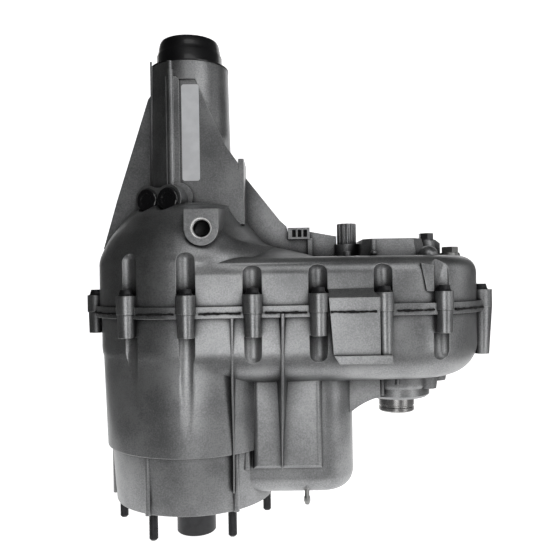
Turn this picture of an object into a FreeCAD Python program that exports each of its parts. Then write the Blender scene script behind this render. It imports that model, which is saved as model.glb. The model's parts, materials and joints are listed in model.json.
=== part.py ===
"""Transfer case: two cast housings round a planetary reduction, a silent chain and two output shafts.

The part stands with its main shaft along Z. The origin is the centre of the input flange face, where the
case bolts to a gearbox; the rear output points up, and the front output lies at +X and points down.
All sizes are in millimetres.
"""

import FreeCAD
import Part
import math
import os
from FreeCAD import Vector

os.makedirs("parts", exist_ok=True)

# Heights along the main shaft
PARTING_HEIGHT = 220.0
BOWL_DEPTH = 80.0
COVER_DEPTH = 60.0
DOME_RISE = 63.0
TAIL_LENGTH = 168.0
STEP_HEIGHT = 65.0
BOWL_HEIGHT = PARTING_HEIGHT - BOWL_DEPTH
SHOULDER_HEIGHT = PARTING_HEIGHT + COVER_DEPTH
DOME_TOP_HEIGHT = SHOULDER_HEIGHT + DOME_RISE
TAIL_END_HEIGHT = DOME_TOP_HEIGHT + TAIL_LENGTH

# Chain drive: the shaft centre distance follows from the chain
CHAIN_PITCH = 9.525
SPROCKET_TEETH = 36
CHAIN_LINKS = 88
CENTRE_DISTANCE = (CHAIN_LINKS - SPROCKET_TEETH) / 2 * CHAIN_PITCH
SPROCKET_PIN_RADIUS = CHAIN_PITCH / (2 * math.sin(math.pi / SPROCKET_TEETH))
CHAIN_DROP = 24.0
CHAIN_LOW = PARTING_HEIGHT - CHAIN_DROP
CHAIN_WIDTH = 32.0
CHAIN_CENTRE_PACK = 16.0
CHAIN_SIDE_GAP = 0.3
LINK_BACK = 4.0
LINK_TIP = 5.0
LINK_CROTCH = 0.8
LINK_SHOULDER = 2.7
LINK_TIP_LAND = 1.0
LINK_END = 3.4
SPROCKET_TOOTH_CLEARANCE = 0.3

# Radii of the castings
FLANGE_RADIUS = 94.0
FLANGE_BARREL_TOP_RADIUS = 98.5
BARREL_LOW_RADIUS = 103.5
BARREL_RADIUS = 108.5
REAR_BARREL_RADIUS = 110.5
OUTPUT_END_RADIUS = 96.5
DOME_TOP_RADIUS = 56.0
DOME_SHAPE = (
    (1.0, -0.12), (0.99, 0.0), (0.89, 0.222), (0.743, 0.452), (0.561, 0.65), (0.385, 0.841), (0.2, 0.96), (0.0, 1.0)
)
DOME_SIDE_X = -40.0
DOME_SIDE_SHAPE = (
    (196.0, 0.0), (180.0, 5.0), (153.0, 11.5), (141.0, 14.5), (128.5, 20.5), (120.0, 30.0), (110.0, 42.0),
    (102.5, 53.0), (99.0, 63.0)
)
SADDLE_RADIUS = 212.0
SADDLE_RISE = 15.0
TAIL_RADIUS = 47.0
TAIL_BASE_RADIUS = 50.0
BOWL_FILLET = 40.0
SHOULDER_FILLET = 20.0
WALL = 6.5
LIP_WIDTH = 6.0
FRONT_LIP_THICKNESS = 5.0
REAR_LIP_THICKNESS = 7.5

# Case bolts: angles round the main shaft, distances along the straight sides, angles round the front output
BOLT_RADIUS = 5.0
BOLT_CLEARANCE = 0.3
MAIN_BOLT_RADIUS = 115.5
OUTPUT_BOLT_RADIUS = 101.0
FRONT_MAIN_ANGLES = (-172.0, -120.5, -86.3)
BACK_MAIN_ANGLES = (136.0, 94.0)
SIDE_BOLT_PLACES = (0.287, 0.571, 0.856)
FRONT_OUTPUT_ANGLES = (-69.0, -15.0)
BACK_OUTPUT_ANGLES = (66.0, 27.0)
REAR_BOSS_RADIUS = 10.5
FRONT_BOSS_RADIUS = 9.3
REAR_BOSS_HEIGHT = 20.0
FRONT_BOSS_HEIGHT = 25.0
FLUTE_RADIUS = 11.3
FLUTE_WALL = 4.5
BOLT_HEAD_FLANGE_RADIUS = 8.6
BOLT_HEAD_FLATS = 13.0
BOLT_HEAD_HEIGHT = 6.6
BOLT_FLANGE_HEIGHT = 2.0

# Input flange studs
STUD_COUNT = 6
STUD_RADIUS = 5.0
STUD_ROOT_RADIUS = 4.6
STUD_CIRCLE_RADIUS = 87.0
STUD_TURN = 5.0
STUD_PROUD = 30.0
STUD_DEPTH = 26.0
STUD_BOSS_RADIUS = 8.5
STUD_RELIEF = 0.4
STUD_RELIEF_DEPTH = 1.0

# Input bearing, retainer and input gear
RECESS_RADIUS = 76.0
RECESS_DEPTH = 8.0
FRONT_WALL_TOP = 18.0
BEARING_HUB_RADIUS = 54.0
INPUT_BEARING_OUTER = 45.0
INPUT_BEARING_INNER = 30.0
INPUT_BEARING_LOW = 18.0
INPUT_BEARING_WIDTH = 17.0
RETAINER_RADIUS = 66.0
RETAINER_SNOUT_RADIUS = 37.0
RETAINER_SNOUT_LENGTH = 16.0
RETAINER_BOLT_CIRCLE = 58.0
RETAINER_BOLTS = 6
SEAL_RUN_CLEARANCE = 0.05
INPUT_SNOUT_RADIUS = 23.6
INPUT_SNOUT_LENGTH = 50.0
INPUT_SNOUT_STEP = 16.0
INPUT_SEAL_RADIUS = 24.4
INPUT_SPLINE_TEETH = 20
INPUT_SPLINE_TIP = 15.8
INPUT_SPLINE_ROOT = 17.6
INPUT_SPLINE_DEPTH = 46.0
INPUT_MOUTH_RADIUS = 18.6
INPUT_MOUTH_DEPTH = 10.0
PILOT_BORE_RADIUS = 15.0
PILOT_RADIUS = 11.5

# Planetary set
GEAR_MODULE = 2.5
SUN_TEETH = 34
RING_TEETH = 58
PLANET_COUNT = 4
PLANET_TEETH = (RING_TEETH - SUN_TEETH) // 2
PRESSURE_ANGLE = 25.0
ADDENDUM = 0.88 * GEAR_MODULE
DEDENDUM = 1.15 * GEAR_MODULE
BACKLASH = 0.36
GEAR_LOW = 70.0
GEAR_WIDTH = 28.0
RING_SEAT_RADIUS = 86.0
RING_SEAT_LOW = 66.0
RING_SEAT_TOP = 104.0
PLANET_CIRCLE_RADIUS = GEAR_MODULE * (SUN_TEETH + PLANET_TEETH) / 2
PLANET_PIN_RADIUS = 6.0
WASHER_THICKNESS = 1.6
WASHER_GAP = 0.2
CARRIER_PLATE = 6.5
CARRIER_RADIUS = 68.0
RUNNING_CLEARANCE = 0.06

# Range clutch
CLUTCH_TEETH = 18
CLUTCH_ROOT_RADIUS = 31.0
CLUTCH_TIP_RADIUS = 34.5
CLUTCH_CLEARANCE = 0.35
SUN_CLUTCH_TOP = 94.0
RANGE_SLEEVE_LOW = 80.0
RANGE_SLEEVE_BODY = 28.5
RANGE_TOOTH_WIDTH = 12.0
RANGE_TRAVEL = 16.0
CARRIER_CLUTCH_LOW = 110.0
CARRIER_CLUTCH_WIDTH = 12.0
GROOVE_RADIUS = 38.0
SLEEVE_FLANGE_RADIUS = 44.0
RANGE_GROOVE_LOW = 130.0
GROOVE_WIDTH = 8.0
SLEEVE_FLANGE = 4.0

# Mode clutch
MODE_TEETH = 18
MODE_TRAVEL = 12.0
MODE_CLUTCH_LOW = CHAIN_LOW + CHAIN_WIDTH + 2.0
MODE_CLUTCH_WIDTH = 9.0
MODE_HUB_LOW = MODE_CLUTCH_LOW + MODE_CLUTCH_WIDTH + 3.0
MODE_HUB_WIDTH = 26.0
MODE_SLEEVE_LOW = MODE_CLUTCH_LOW + 1.5
MODE_SLEEVE_WIDTH = 24.0
MODE_SLEEVE_RADIUS = 46.0
MODE_GROOVE_LOW = MODE_SLEEVE_LOW + 12.5
MODE_GROOVE_WIDTH = 7.0
MODE_GROOVE_RADIUS = 41.5
MODE_TOOTH_ROOT = 34.0
MODE_TOOTH_TIP = 37.0

# Main shaft and tail
SHAFT_RADIUS = 16.0
HUB_SPLINE_TEETH = 14
HUB_SPLINE_ROOT = 17.5
HUB_SPLINE_TIP = 19.5
SPROCKET_JOURNAL = 21.0
MAIN_NEEDLE_OUTER = 25.0
REAR_JOURNAL = 17.4
REAR_BEARING_LOW = SHOULDER_HEIGHT + 16.0
REAR_BEARING_WIDTH = 18.0
REAR_BEARING_OUTER = 40.0
REAR_WALL_LOW = REAR_BEARING_LOW - 6.0
REAR_WALL_TOP = REAR_BEARING_LOW + REAR_BEARING_WIDTH + 4.0
TAIL_BORE_RADIUS = 38.0
OUTPUT_SPLINE_TEETH = 20
OUTPUT_SPLINE_ROOT = 15.8
OUTPUT_SPLINE_TIP = 17.5
OUTPUT_SPLINE_LENGTH = 94.0
SHAFT_INSET = 14.0
SHAFT_END_HEIGHT = TAIL_END_HEIGHT - SHAFT_INSET
OUTPUT_SPLINE_LOW = SHAFT_END_HEIGHT - 3.0 - OUTPUT_SPLINE_LENGTH
BUSHING_BORE = 24.0
BUSHING_RADIUS = 27.0
BUSHING_LENGTH = 26.0
BUSHING_INSET = 13.0
BUSHING_LOW = TAIL_END_HEIGHT - BUSHING_INSET - BUSHING_LENGTH
SEAL_COLLAR_RADIUS = 39.5
SEAL_COLLAR_TOP_RADIUS = 35.5
SEAL_COLLAR_HEIGHT = 34.0
SEAL_SEAT_RADIUS = 33.0
SEAL_SEAT_DEPTH = 9.0
SEAL_BORE_RADIUS = 23.8
PLUG_BODY_RADIUS = 22.6
PLUG_DEPTH = 62.0
PLUG_FLANGE_RADIUS = 27.5
PLUG_TRAVEL = 60.0

# Oil pump and tone wheel
PUMP_LOW = REAR_WALL_TOP + 4.0
PUMP_WIDTH = 14.0
PUMP_RADIUS = 37.5
TONE_LOW = PUMP_LOW + PUMP_WIDTH + 7.0
TONE_WIDTH = 12.0
TONE_RADIUS = 31.0
TONE_TEETH = 20

# Front output
OUTPUT_STUB_RADIUS = 21.7
OUTPUT_BOSS_DROP = 28.0
OUTPUT_STUB_PROUD = 19.0
OUTPUT_BOSS_END = BOWL_HEIGHT - OUTPUT_BOSS_DROP
OUTPUT_STUB_END = OUTPUT_BOSS_END - OUTPUT_STUB_PROUD
OUTPUT_JOURNAL_RADIUS = 22.6
OUTPUT_BOSS_RADIUS = 43.0
OUTPUT_BOSS_END_RADIUS = 40.0
OUTPUT_SEAL_RADIUS = 33.0
OUTPUT_SEAL_WIDTH = 9.0
OUTPUT_BEARING_LOW = OUTPUT_BOSS_END + 14.0
OUTPUT_BEARING_WIDTH = 18.0
OUTPUT_BEARING_OUTER = 38.0
OUTPUT_SEAT_RADIUS = 23.5
OUTPUT_REAR_JOURNAL = 15.0
OUTPUT_NEEDLE_RADIUS = 20.0
OUTPUT_NEEDLE_LOW = SHOULDER_HEIGHT - 18.0
OUTPUT_NEEDLE_WIDTH = 18.0
OUTPUT_SHAFT_TOP = SHOULDER_HEIGHT + 4.0
OUTPUT_BORE_RADIUS = 14.0
OUTPUT_BORE_DEPTH = 40.0
REAR_PAD_RISE = 21.0
REAR_PAD_RADIUS = 32.0
REAR_PAD_HEIGHT = SHOULDER_HEIGHT + REAR_PAD_RISE

# Shift rail, forks and sector
RAIL_X = 122.0
RAIL_RADIUS = 8.0
RAIL_LOW = 30.0
RAIL_TOP = SHOULDER_HEIGHT - 4.0
RAIL_SEAT = 9.0
FORK_HUB_RADIUS = 14.5
FORK_INNER = 38.6
FORK_OUTER = 53.0
FORK_CLEARANCE = 0.5
SECTOR_X = 146.0
PIN_X = 134.0
SECTOR_Z = 78.0
SECTOR_RANGE = 30.0
SECTOR_PLATE_LOW_Y = 17.0
SECTOR_PLATE = 5.0
SECTOR_SHAFT_RADIUS = 8.0
PIN_RADIUS = 4.0
PIN_Z = 134.0
PIN_CLEARANCE = 0.4

# Shift housing under the bowl
BOX_LEFT = 40.0
BOX_RIGHT = 190.0
BOX_FRONT = -66.0
BOX_BACK = 58.0
BOX_LOW = 11.0
BOX_CORNER = 38.0
BOX_BOTTOM_FILLET = 22.0
PANEL_FRONT = -74.0
PANEL_LEFT = 73.5
PANEL_RIGHT = 151.5
PANEL_LOW = 44.0
PANEL_BEVEL = 5.0

# Sensor ports and fill port
SENSOR_HEIGHT = TONE_LOW + TONE_WIDTH / 2
SENSOR_TURN = 24.0
SENSOR_SPACING = 28.6
SENSOR_X = -32.1
SENSOR_Y = -50.0
SENSOR_BOSS_LENGTH = 45.0
SENSOR_BOSS_RADIUS = 17.0
SENSOR_HOLE_RADIUS = 10.0
SENSOR_CAP_RADIUS = 13.6
FILL_X = 24.0
FILL_FACE = 107.0
FILL_HEIGHT = SHOULDER_HEIGHT + 31.0
FILL_BORE_RADIUS = 9.6
FILL_PAD_RADIUS = 18.5
FILL_DEPTH = 24.0
FILL_DRAFT = 4.0

# Details of the castings
FIT = 0.03
LONG_FLUTES = (1, 2)
LONG_BOSSES = {5: 47.0, 10: 56.0}
FLARED_BOSSES = {10: 12.8}
REAR_FLUTE_LENGTH = 23.0
DOME_FLUTE_LENGTH = 37.0
DOME_FLUTES = (0, 1, 2, 13, 14)
FLAT_POCKETS = (9,)
POCKET_CORNER = 4.5
POCKET_BACK = 9.2
BOLT_ENGAGEMENT = 24.0
RETAINER_BOLT_RADIUS = 3.0
DOWEL_RADIUS = 7.0
DOWEL_DEPTH = 8.0
DOWEL_BOLTS = (2, 12)
RING_LEDGE_RADIUS = 79.0
PANEL_CORNER = 7.0
GUSSET_FRONT = -46.0
GUSSET_BACK = 30.0
GUSSET_RADIUS = 85.0
GUSSET_X = 241.0
GUSSET_Z = BOWL_HEIGHT - 105.0
GUSSET_END = 221.0
PAD_LEFT = 157.5
PAD_SLANT = 5.0
PAD_RIGHT = 212.0
PAD_TOP = PARTING_HEIGHT + 24.0
PAD_LOW = PARTING_HEIGHT - 46.0
PAD_CHAMFER = 9.0
PAD_FRONT = -112.0
PAD_LEDGE = 9.0
PAD_LEDGE_RIGHT = 224.0
RIB_X = 108.0
RIB_LOW = 45.0
THIN_RIB_X = 54.2
THIN_RIB_LOW = 79.0
COLUMN_X = 66.5
COLUMN_LOW = 44.0
VENT_X = 134.0
VENT_Y = -60.0
VENT_BOSS = 4.2
VENT_BOSS_LOW = 18.0
VENT_RADIUS = 2.6
VENT_HEIGHT = 30.0
SHIFT_BOSS = 9.0
SHIFT_BOSS_RADIUS = 17.0
SHIFT_SEAL_RADIUS = 13.0
SHIFT_SEAL_WIDTH = 6.0
CAP_X = 189.5
SEALANT_PROUD = 1.2
SPRING_LOW = MODE_GROOVE_LOW - 64.0
SPRING_WIRE = 2.6
SPRING_TURNS = 6
SPRING_COIL_RADIUS = 10.8
SLOT_STEPS = 6
ROTOR_RADIUS = 26.0
LABEL_X = -4.2
LABEL_WIDTH = 20.5
LABEL_LENGTH = 112.0
LABEL_LOW = TAIL_END_HEIGHT - 28.0 - LABEL_LENGTH
PICKUP_X = 152.0
PICKUP_Y = 32.0
PICKUP_LOW = BOWL_HEIGHT + 30.0
MAGNET_X = 205.0
MAGNET_Y = 46.0
STUD_RIDGE_RADIUS = 3.2
STUD_RIDGE_PLACE = 96.6
RAIL_CAP_RADIUS = 11.7
RAIL_CAP_LOW = SHOULDER_HEIGHT + 17.0
RAIL_CAP_STEM = 8.0
HEX_A_X = 284.0
HEX_A_Y = -14.0
HEX_A_LOW = SHOULDER_HEIGHT + 19.0
HEX_A_RADIUS = 9.0
HEX_A_THREAD = 5.0
HEX_B_X = 311.0
HEX_B_Y = -20.0
HEX_B_LOW = SHOULDER_HEIGHT - 2.0
HEX_B_RADIUS = 12.0
HEX_B_THREAD = 7.0


def cylinder(radius, low, high, x=0.0, y=0.0):
    """A round bar along Z."""
    return Part.makeCylinder(radius, high - low, Vector(x, y, low))


def ring(inner, outer, low, high, x=0.0, y=0.0):
    """A plain ring along Z."""
    return cylinder(outer, low, high, x, y).cut(cylinder(inner, low - 1, high + 1, x, y))


def polygon_prism(points, low, high):
    """A prism along Z on a flat outline."""
    corners = [Vector(px, py, low) for px, py in points]
    face = Part.Face(Part.makePolygon(corners + corners[:1]))
    return face.extrude(Vector(0, 0, high - low))


def turned(profile, x=0.0, y=0.0):
    """A turned solid about a vertical axis from (radius, height) corners."""
    corners = [Vector(r, 0, z) for r, z in profile]
    face = Part.Face(Part.makePolygon(corners + corners[:1]))
    solid = face.revolve(Vector(0, 0, 0), Vector(0, 0, 1), 360)
    solid.translate(Vector(x, y, 0))
    return solid


def box(x0, x1, y0, y1, z0, z1):
    """A block between two corners."""
    return Part.makeBox(x1 - x0, y1 - y0, z1 - z0, Vector(x0, y0, z0))


def polar(radius, degrees, x=0.0, y=0.0):
    """A point on a circle."""
    angle = math.radians(degrees)
    return x + radius * math.cos(angle), y + radius * math.sin(angle)


def joined(shapes):
    """One solid from several that meet."""
    whole = shapes[0].multiFuse(shapes[1:]) if len(shapes) > 1 else shapes[0]
    return whole.removeSplitter()


def cut_all(shape, tools):
    """The shape less every tool."""
    return shape.cut(Part.makeCompound(tools)) if tools else shape


def belt_face(main_radius, output_radius, z):
    """The flat outline round both shafts: two arcs and their outer tangents."""
    lean = math.asin((main_radius - output_radius) / CENTRE_DISTANCE)
    up = math.pi / 2 - lean
    main = [Vector(main_radius * math.cos(a), main_radius * math.sin(a), z) for a in (up, math.pi, -up)]
    end = [
        Vector(CENTRE_DISTANCE + output_radius * math.cos(a), output_radius * math.sin(a), z)
        for a in (-up, 0.0, up)
    ]
    edges = [
        Part.Arc(*main).toShape(),
        Part.LineSegment(main[2], end[0]).toShape(),
        Part.Arc(*end).toShape(),
        Part.LineSegment(end[2], main[0]).toShape(),
    ]
    return Part.Face(Part.Wire(edges))


def belt_prism(main_radius, output_radius, low, high):
    """The outline round both shafts as a prism."""
    return belt_face(main_radius, output_radius, low).extrude(Vector(0, 0, high - low))


def rounded_at(solid, height, radius):
    """The solid with the edges that lie at one height rounded."""
    flat = [e for e in solid.Edges if abs(e.BoundBox.ZMin - height) < 0.01 and abs(e.BoundBox.ZMax - height) < 0.01]
    return solid.makeFillet(radius, flat)


def bolt_places():
    """Where the case bolts stand, round the whole joint."""
    places = [polar(MAIN_BOLT_RADIUS, a) for a in FRONT_MAIN_ANGLES]
    lean = math.degrees(math.asin((MAIN_BOLT_RADIUS - OUTPUT_BOLT_RADIUS) / CENTRE_DISTANCE))
    for side in (-1, 1):
        start = polar(MAIN_BOLT_RADIUS, side * (90 - lean))
        end = polar(OUTPUT_BOLT_RADIUS, side * (90 - lean), CENTRE_DISTANCE)
        for share in SIDE_BOLT_PLACES:
            places.append(tuple(s + share * (e - s) for s, e in zip(start, end)))
    places += [polar(OUTPUT_BOLT_RADIUS, a, CENTRE_DISTANCE) for a in FRONT_OUTPUT_ANGLES + BACK_OUTPUT_ANGLES]
    places += [polar(MAIN_BOLT_RADIUS, a) for a in BACK_MAIN_ANGLES]
    return places


def stud_places():
    """Where the input flange studs stand."""
    return [polar(STUD_CIRCLE_RADIUS, STUD_TURN + k * 360 / STUD_COUNT) for k in range(STUD_COUNT)]


def stud_ridges():
    """Where the ridges that stiffen the studs run down the outside of the input barrel."""
    return [polar(STUD_RIDGE_PLACE, STUD_TURN + k * 360 / STUD_COUNT) for k in range(STUD_COUNT)]


def toothed_outline(count, root, tip, root_half, tip_half, turn=0.0):
    """A closed outline of straight-sided teeth; half widths are in degrees at the root and tip."""
    points = []
    for k in range(count):
        middle = turn + k * 360 / count
        points += [
            polar(root, middle - root_half),
            polar(tip, middle - tip_half),
            polar(tip, middle + tip_half),
            polar(root, middle + root_half),
        ]
    return points


def splined_bar(count, root, tip, low, high, turn=0.0):
    """A bar with straight-sided outer splines."""
    share = 360 / count
    return polygon_prism(toothed_outline(count, root, tip, 0.29 * share, 0.21 * share, turn), low, high)


def splined_hole(count, root, tip, clearance, low, high, turn=0.0):
    """The cutter that leaves inner splines to match a splined bar with a clearance all round."""
    share = 360 / count
    grow = math.degrees(clearance / root)
    outline = toothed_outline(
        count, root + clearance, tip + clearance, 0.29 * share + grow, 0.21 * share + grow, turn
    )
    return polygon_prism(outline, low, high)


def involute_half_angle(radius, teeth, gap):
    """Half the angle that an involute tooth takes at a radius, thinned by half the gap each side."""
    pitch_radius = GEAR_MODULE * teeth / 2
    base = pitch_radius * math.cos(math.radians(PRESSURE_ANGLE))
    press = math.acos(min(1.0, base / radius))
    at_pitch = math.tan(math.radians(PRESSURE_ANGLE)) - math.radians(PRESSURE_ANGLE)
    half = math.pi / (2 * teeth) + at_pitch - (math.tan(press) - press)
    return math.degrees(half - gap / 2 / pitch_radius)


def outer_gear(teeth, low, high, turn=0.0):
    """A spur gear blank with involute flanks as short flats that lie inside the true curve."""
    pitch_radius = GEAR_MODULE * teeth / 2
    radii = [max(pitch_radius - DEDENDUM, 0.92 * pitch_radius * 0.97), pitch_radius, pitch_radius + ADDENDUM]
    base = pitch_radius * math.cos(math.radians(PRESSURE_ANGLE))
    points = []
    for k in range(teeth):
        middle = turn + k * 360 / teeth
        halves = [involute_half_angle(max(r, base), teeth, BACKLASH / 2) for r in radii]
        points.append(polar(pitch_radius - DEDENDUM, middle - halves[0]))
        points += [polar(r, middle - h) for r, h in zip(radii[1:], halves[1:])]
        points += [polar(r, middle + h) for r, h in reversed(list(zip(radii[1:], halves[1:])))]
        points.append(polar(pitch_radius - DEDENDUM, middle + halves[0]))
    return polygon_prism(points, low, high)


def ring_gear_hole(low, high, turn=0.0):
    """The cutter that leaves the ring gear's inner teeth: a gear outline with the spaces as its teeth."""
    pitch_radius = GEAR_MODULE * RING_TEETH / 2
    radii = [pitch_radius - ADDENDUM, pitch_radius, pitch_radius + DEDENDUM]
    points = []
    for k in range(RING_TEETH):
        middle = turn + (k + 0.5) * 360 / RING_TEETH
        halves = [involute_half_angle(r, RING_TEETH, -BACKLASH / 2) for r in radii]
        points += [polar(r, middle - h) for r, h in zip(radii, halves)]
        points += [polar(r, middle + h) for r, h in reversed(list(zip(radii, halves)))]
    return polygon_prism(points, low, high)


def save(name, shape):
    """Writes one named piece, as its separate solids."""
    solids = shape.Solids
    out = solids[0] if len(solids) == 1 else Part.makeCompound(solids)
    out.exportStep(os.path.join("parts", name + ".step"))
    print(name, len(solids), round(sum(s.Volume for s in solids)), all(s.isValid() for s in solids))


def round_teeth(shape, count, root, tip, clearance, low, high, turn=0.0):
    """The shape less a hole with inner splines."""
    return shape.cut(splined_hole(count, root, tip, clearance, low - 1, high + 1, turn))


def flute(x, y, low, high):
    """A rounded groove cut beside a bolt, with a ball end at the far height."""
    ball = Part.makeSphere(FLUTE_RADIUS, Vector(x, y, high if high > PARTING_HEIGHT else low))
    return cylinder(FLUTE_RADIUS, low, high, x, y).fuse(ball)


def front_flutes():
    """The grooves under the front case's bolt bosses."""
    tools = []
    top = PARTING_HEIGHT - FRONT_BOSS_HEIGHT
    for k, (x, y) in enumerate(bolt_places()):
        if k in LONG_BOSSES:
            continue
        long_one = k in LONG_FLUTES
        low = STEP_HEIGHT - 20 if long_one else top - 22
        tools.append(flute(x, y, low, top))
    return tools


def rear_flutes():
    """The grooves over the rear case's bolt bosses, for the socket that drives each bolt."""
    base = PARTING_HEIGHT + REAR_BOSS_HEIGHT
    tools = []
    for k, (x, y) in enumerate(bolt_places()):
        length = DOME_FLUTE_LENGTH if k in DOME_FLUTES else REAR_FLUTE_LENGTH
        if k not in FLAT_POCKETS:
            tools.append(flute(x, y, base, base + length))
    return tools + flat_pockets()


def flat_pockets():
    """The open pockets with a flat back that stand over a bolt in place of a round groove."""
    base = PARTING_HEIGHT + REAR_BOSS_HEIGHT
    wide = FLUTE_RADIUS
    side = POCKET_BACK - POCKET_CORNER
    outline = [(-wide, -30), (-wide, side), (POCKET_CORNER - wide, POCKET_BACK), (wide - POCKET_CORNER, POCKET_BACK),
               (wide, side), (wide, -30)]
    places = [bolt_places()[k] for k in FLAT_POCKETS]
    return [polygon_prism([(x + px, y + py) for px, py in outline], base, SHOULDER_HEIGHT + 8) for x, y in places]


def boss_columns(radius, low, high):
    """The solid metal kept behind each bolt and its groove."""
    return [cylinder(radius, low, high, x, y) for x, y in bolt_places()]


def hanging_rib(sections):
    """A rib down the front wall through level sections: place, height, half width, back, ridge, ridge half width."""
    wires = []
    for x, z, half, back, ridge, narrow in sections:
        corners = [Vector(x - half, back, z), Vector(x - narrow, ridge, z), Vector(x + narrow, ridge, z),
                   Vector(x + half, back, z)]
        wires.append(Part.makePolygon(corners + corners[:1]))
    return Part.makeLoft(wires, True, True)


def front_shell():
    """The front case's outer form before its grooves and bores."""
    barrel = Part.makeCone(BARREL_LOW_RADIUS, BARREL_RADIUS, PARTING_HEIGHT - STEP_HEIGHT, Vector(0, 0, STEP_HEIGHT))
    flange = Part.makeCone(FLANGE_RADIUS, FLANGE_BARREL_TOP_RADIUS, STEP_HEIGHT + 2, Vector(0, 0, 0))
    bowl = rounded_at(
        belt_prism(BARREL_RADIUS, OUTPUT_END_RADIUS, BOWL_HEIGHT, PARTING_HEIGHT), BOWL_HEIGHT, BOWL_FILLET
    )
    lip = belt_prism(
        BARREL_RADIUS + LIP_WIDTH, OUTPUT_END_RADIUS + LIP_WIDTH,
        PARTING_HEIGHT - FRONT_LIP_THICKNESS, PARTING_HEIGHT
    )
    return [barrel, flange, bowl, lip, shift_housing(), output_boss()]


def shift_housing():
    """The closed box under the bowl that holds the shift mechanism."""
    body = box(BOX_LEFT, BOX_RIGHT, BOX_FRONT, BOX_BACK, BOX_LOW, BOWL_HEIGHT + 40)
    upright = [
        e for e in body.Edges
        if abs(e.Length - (BOWL_HEIGHT + 40 - BOX_LOW)) < 0.1 and e.BoundBox.XMin > BOX_RIGHT - 1
    ]
    body = body.makeFillet(BOX_CORNER, upright)
    body = rounded_at(body, BOX_LOW, BOX_BOTTOM_FILLET)
    panel = box(PANEL_LEFT, PANEL_RIGHT, PANEL_FRONT, BOX_FRONT + 30, PANEL_LOW, BOWL_HEIGHT + 30)
    edges = [
        e for e in panel.Edges
        if abs(e.Length - (BOWL_HEIGHT + 30 - PANEL_LOW)) < 0.1 and e.BoundBox.YMax < PANEL_FRONT + 1
    ]
    panel = panel.makeFillet(PANEL_CORNER, edges)
    corners = [
        Vector(PANEL_LEFT - 1, PANEL_FRONT - 1, PANEL_LOW - 1),
        Vector(PANEL_LEFT - 1, PANEL_FRONT - 1, PANEL_LOW + PANEL_BEVEL),
        Vector(PANEL_LEFT - 1, PANEL_FRONT + PANEL_BEVEL, PANEL_LOW - 1),
    ]
    bevel = Part.Face(Part.makePolygon(corners + corners[:1])).extrude(Vector(PANEL_RIGHT - PANEL_LEFT + 2, 0, 0))
    return body.fuse(panel.cut(bevel))


def gusset():
    """The curved web between the shift housing and the front output boss, with its two half-round ribs."""
    block = box(BOX_RIGHT - 38, GUSSET_END, GUSSET_FRONT, GUSSET_BACK, BOWL_HEIGHT - 80, BOWL_HEIGHT + 20)
    hollow = Part.makeCylinder(
        GUSSET_RADIUS, GUSSET_BACK - GUSSET_FRONT + 40, Vector(GUSSET_X, GUSSET_FRONT - 20, GUSSET_Z), Vector(0, 1, 0)
    )
    ribs = [
        cylinder(3.4, BOWL_HEIGHT - 22, BOWL_HEIGHT + 10, 224, -37),
        cylinder(3.0, BOWL_HEIGHT - 9, BOWL_HEIGHT + 10, 242, -42),
    ]
    return block.cut(hollow).fuse(ribs)


def output_boss():
    """The stepped boss that holds the front output shaft's bearing and seal."""
    main = turned(
        [(0, OUTPUT_BOSS_END), (OUTPUT_BOSS_END_RADIUS - 3, OUTPUT_BOSS_END),
         (OUTPUT_BOSS_END_RADIUS, OUTPUT_BOSS_END + 3), (OUTPUT_BOSS_END_RADIUS, OUTPUT_BOSS_END + 12),
         (OUTPUT_BOSS_RADIUS, OUTPUT_BOSS_END + 15), (OUTPUT_BOSS_RADIUS + 3, BOWL_HEIGHT + 14),
         (0, BOWL_HEIGHT + 14)],
        CENTRE_DISTANCE,
    )
    lump = Part.makeCone(13.0, 17.0, 24.0, Vector(CENTRE_DISTANCE + 44, -14, BOWL_HEIGHT - 8))
    lower = Part.makeCone(10.0, 13.0, 22.0, Vector(CENTRE_DISTANCE + 33, -26, BOWL_HEIGHT - 16))
    return main.fuse([lump, lower])


def front_pad():
    """The flat mounting pad on the front wall, across the joint, with a bevelled top and a ledge below."""
    outline = [
        Vector(PAD_LEFT, 0, PAD_TOP), Vector(PAD_RIGHT, 0, PAD_TOP),
        Vector(PAD_RIGHT, 0, PAD_LOW), Vector(PAD_LEFT + PAD_SLANT, 0, PAD_LOW),
    ]
    plate = Part.Face(Part.makePolygon(outline + outline[:1])).extrude(Vector(0, PAD_FRONT, 0))
    corners = [
        Vector(PAD_LEFT - 5, PAD_FRONT - 1, PAD_TOP - PAD_CHAMFER - 1), Vector(PAD_LEFT - 5, PAD_FRONT - 1, PAD_TOP + 1),
        Vector(PAD_LEFT - 5, PAD_FRONT + PAD_CHAMFER + 2, PAD_TOP + 1),
    ]
    bevel = Part.Face(Part.makePolygon(corners + corners[:1])).extrude(Vector(PAD_RIGHT - PAD_LEFT + 10, 0, 0))
    left = PAD_LEFT + PAD_SLANT
    ledge = web_plate(
        [(left, PAD_LOW), (PAD_LEDGE_RIGHT, PAD_LOW), (PAD_LEDGE_RIGHT, PAD_LOW - PAD_LEDGE),
         (left + 6, PAD_LOW - PAD_LEDGE)], PAD_FRONT - 4.5, 0
    )
    return plate.cut(bevel), ledge


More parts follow.
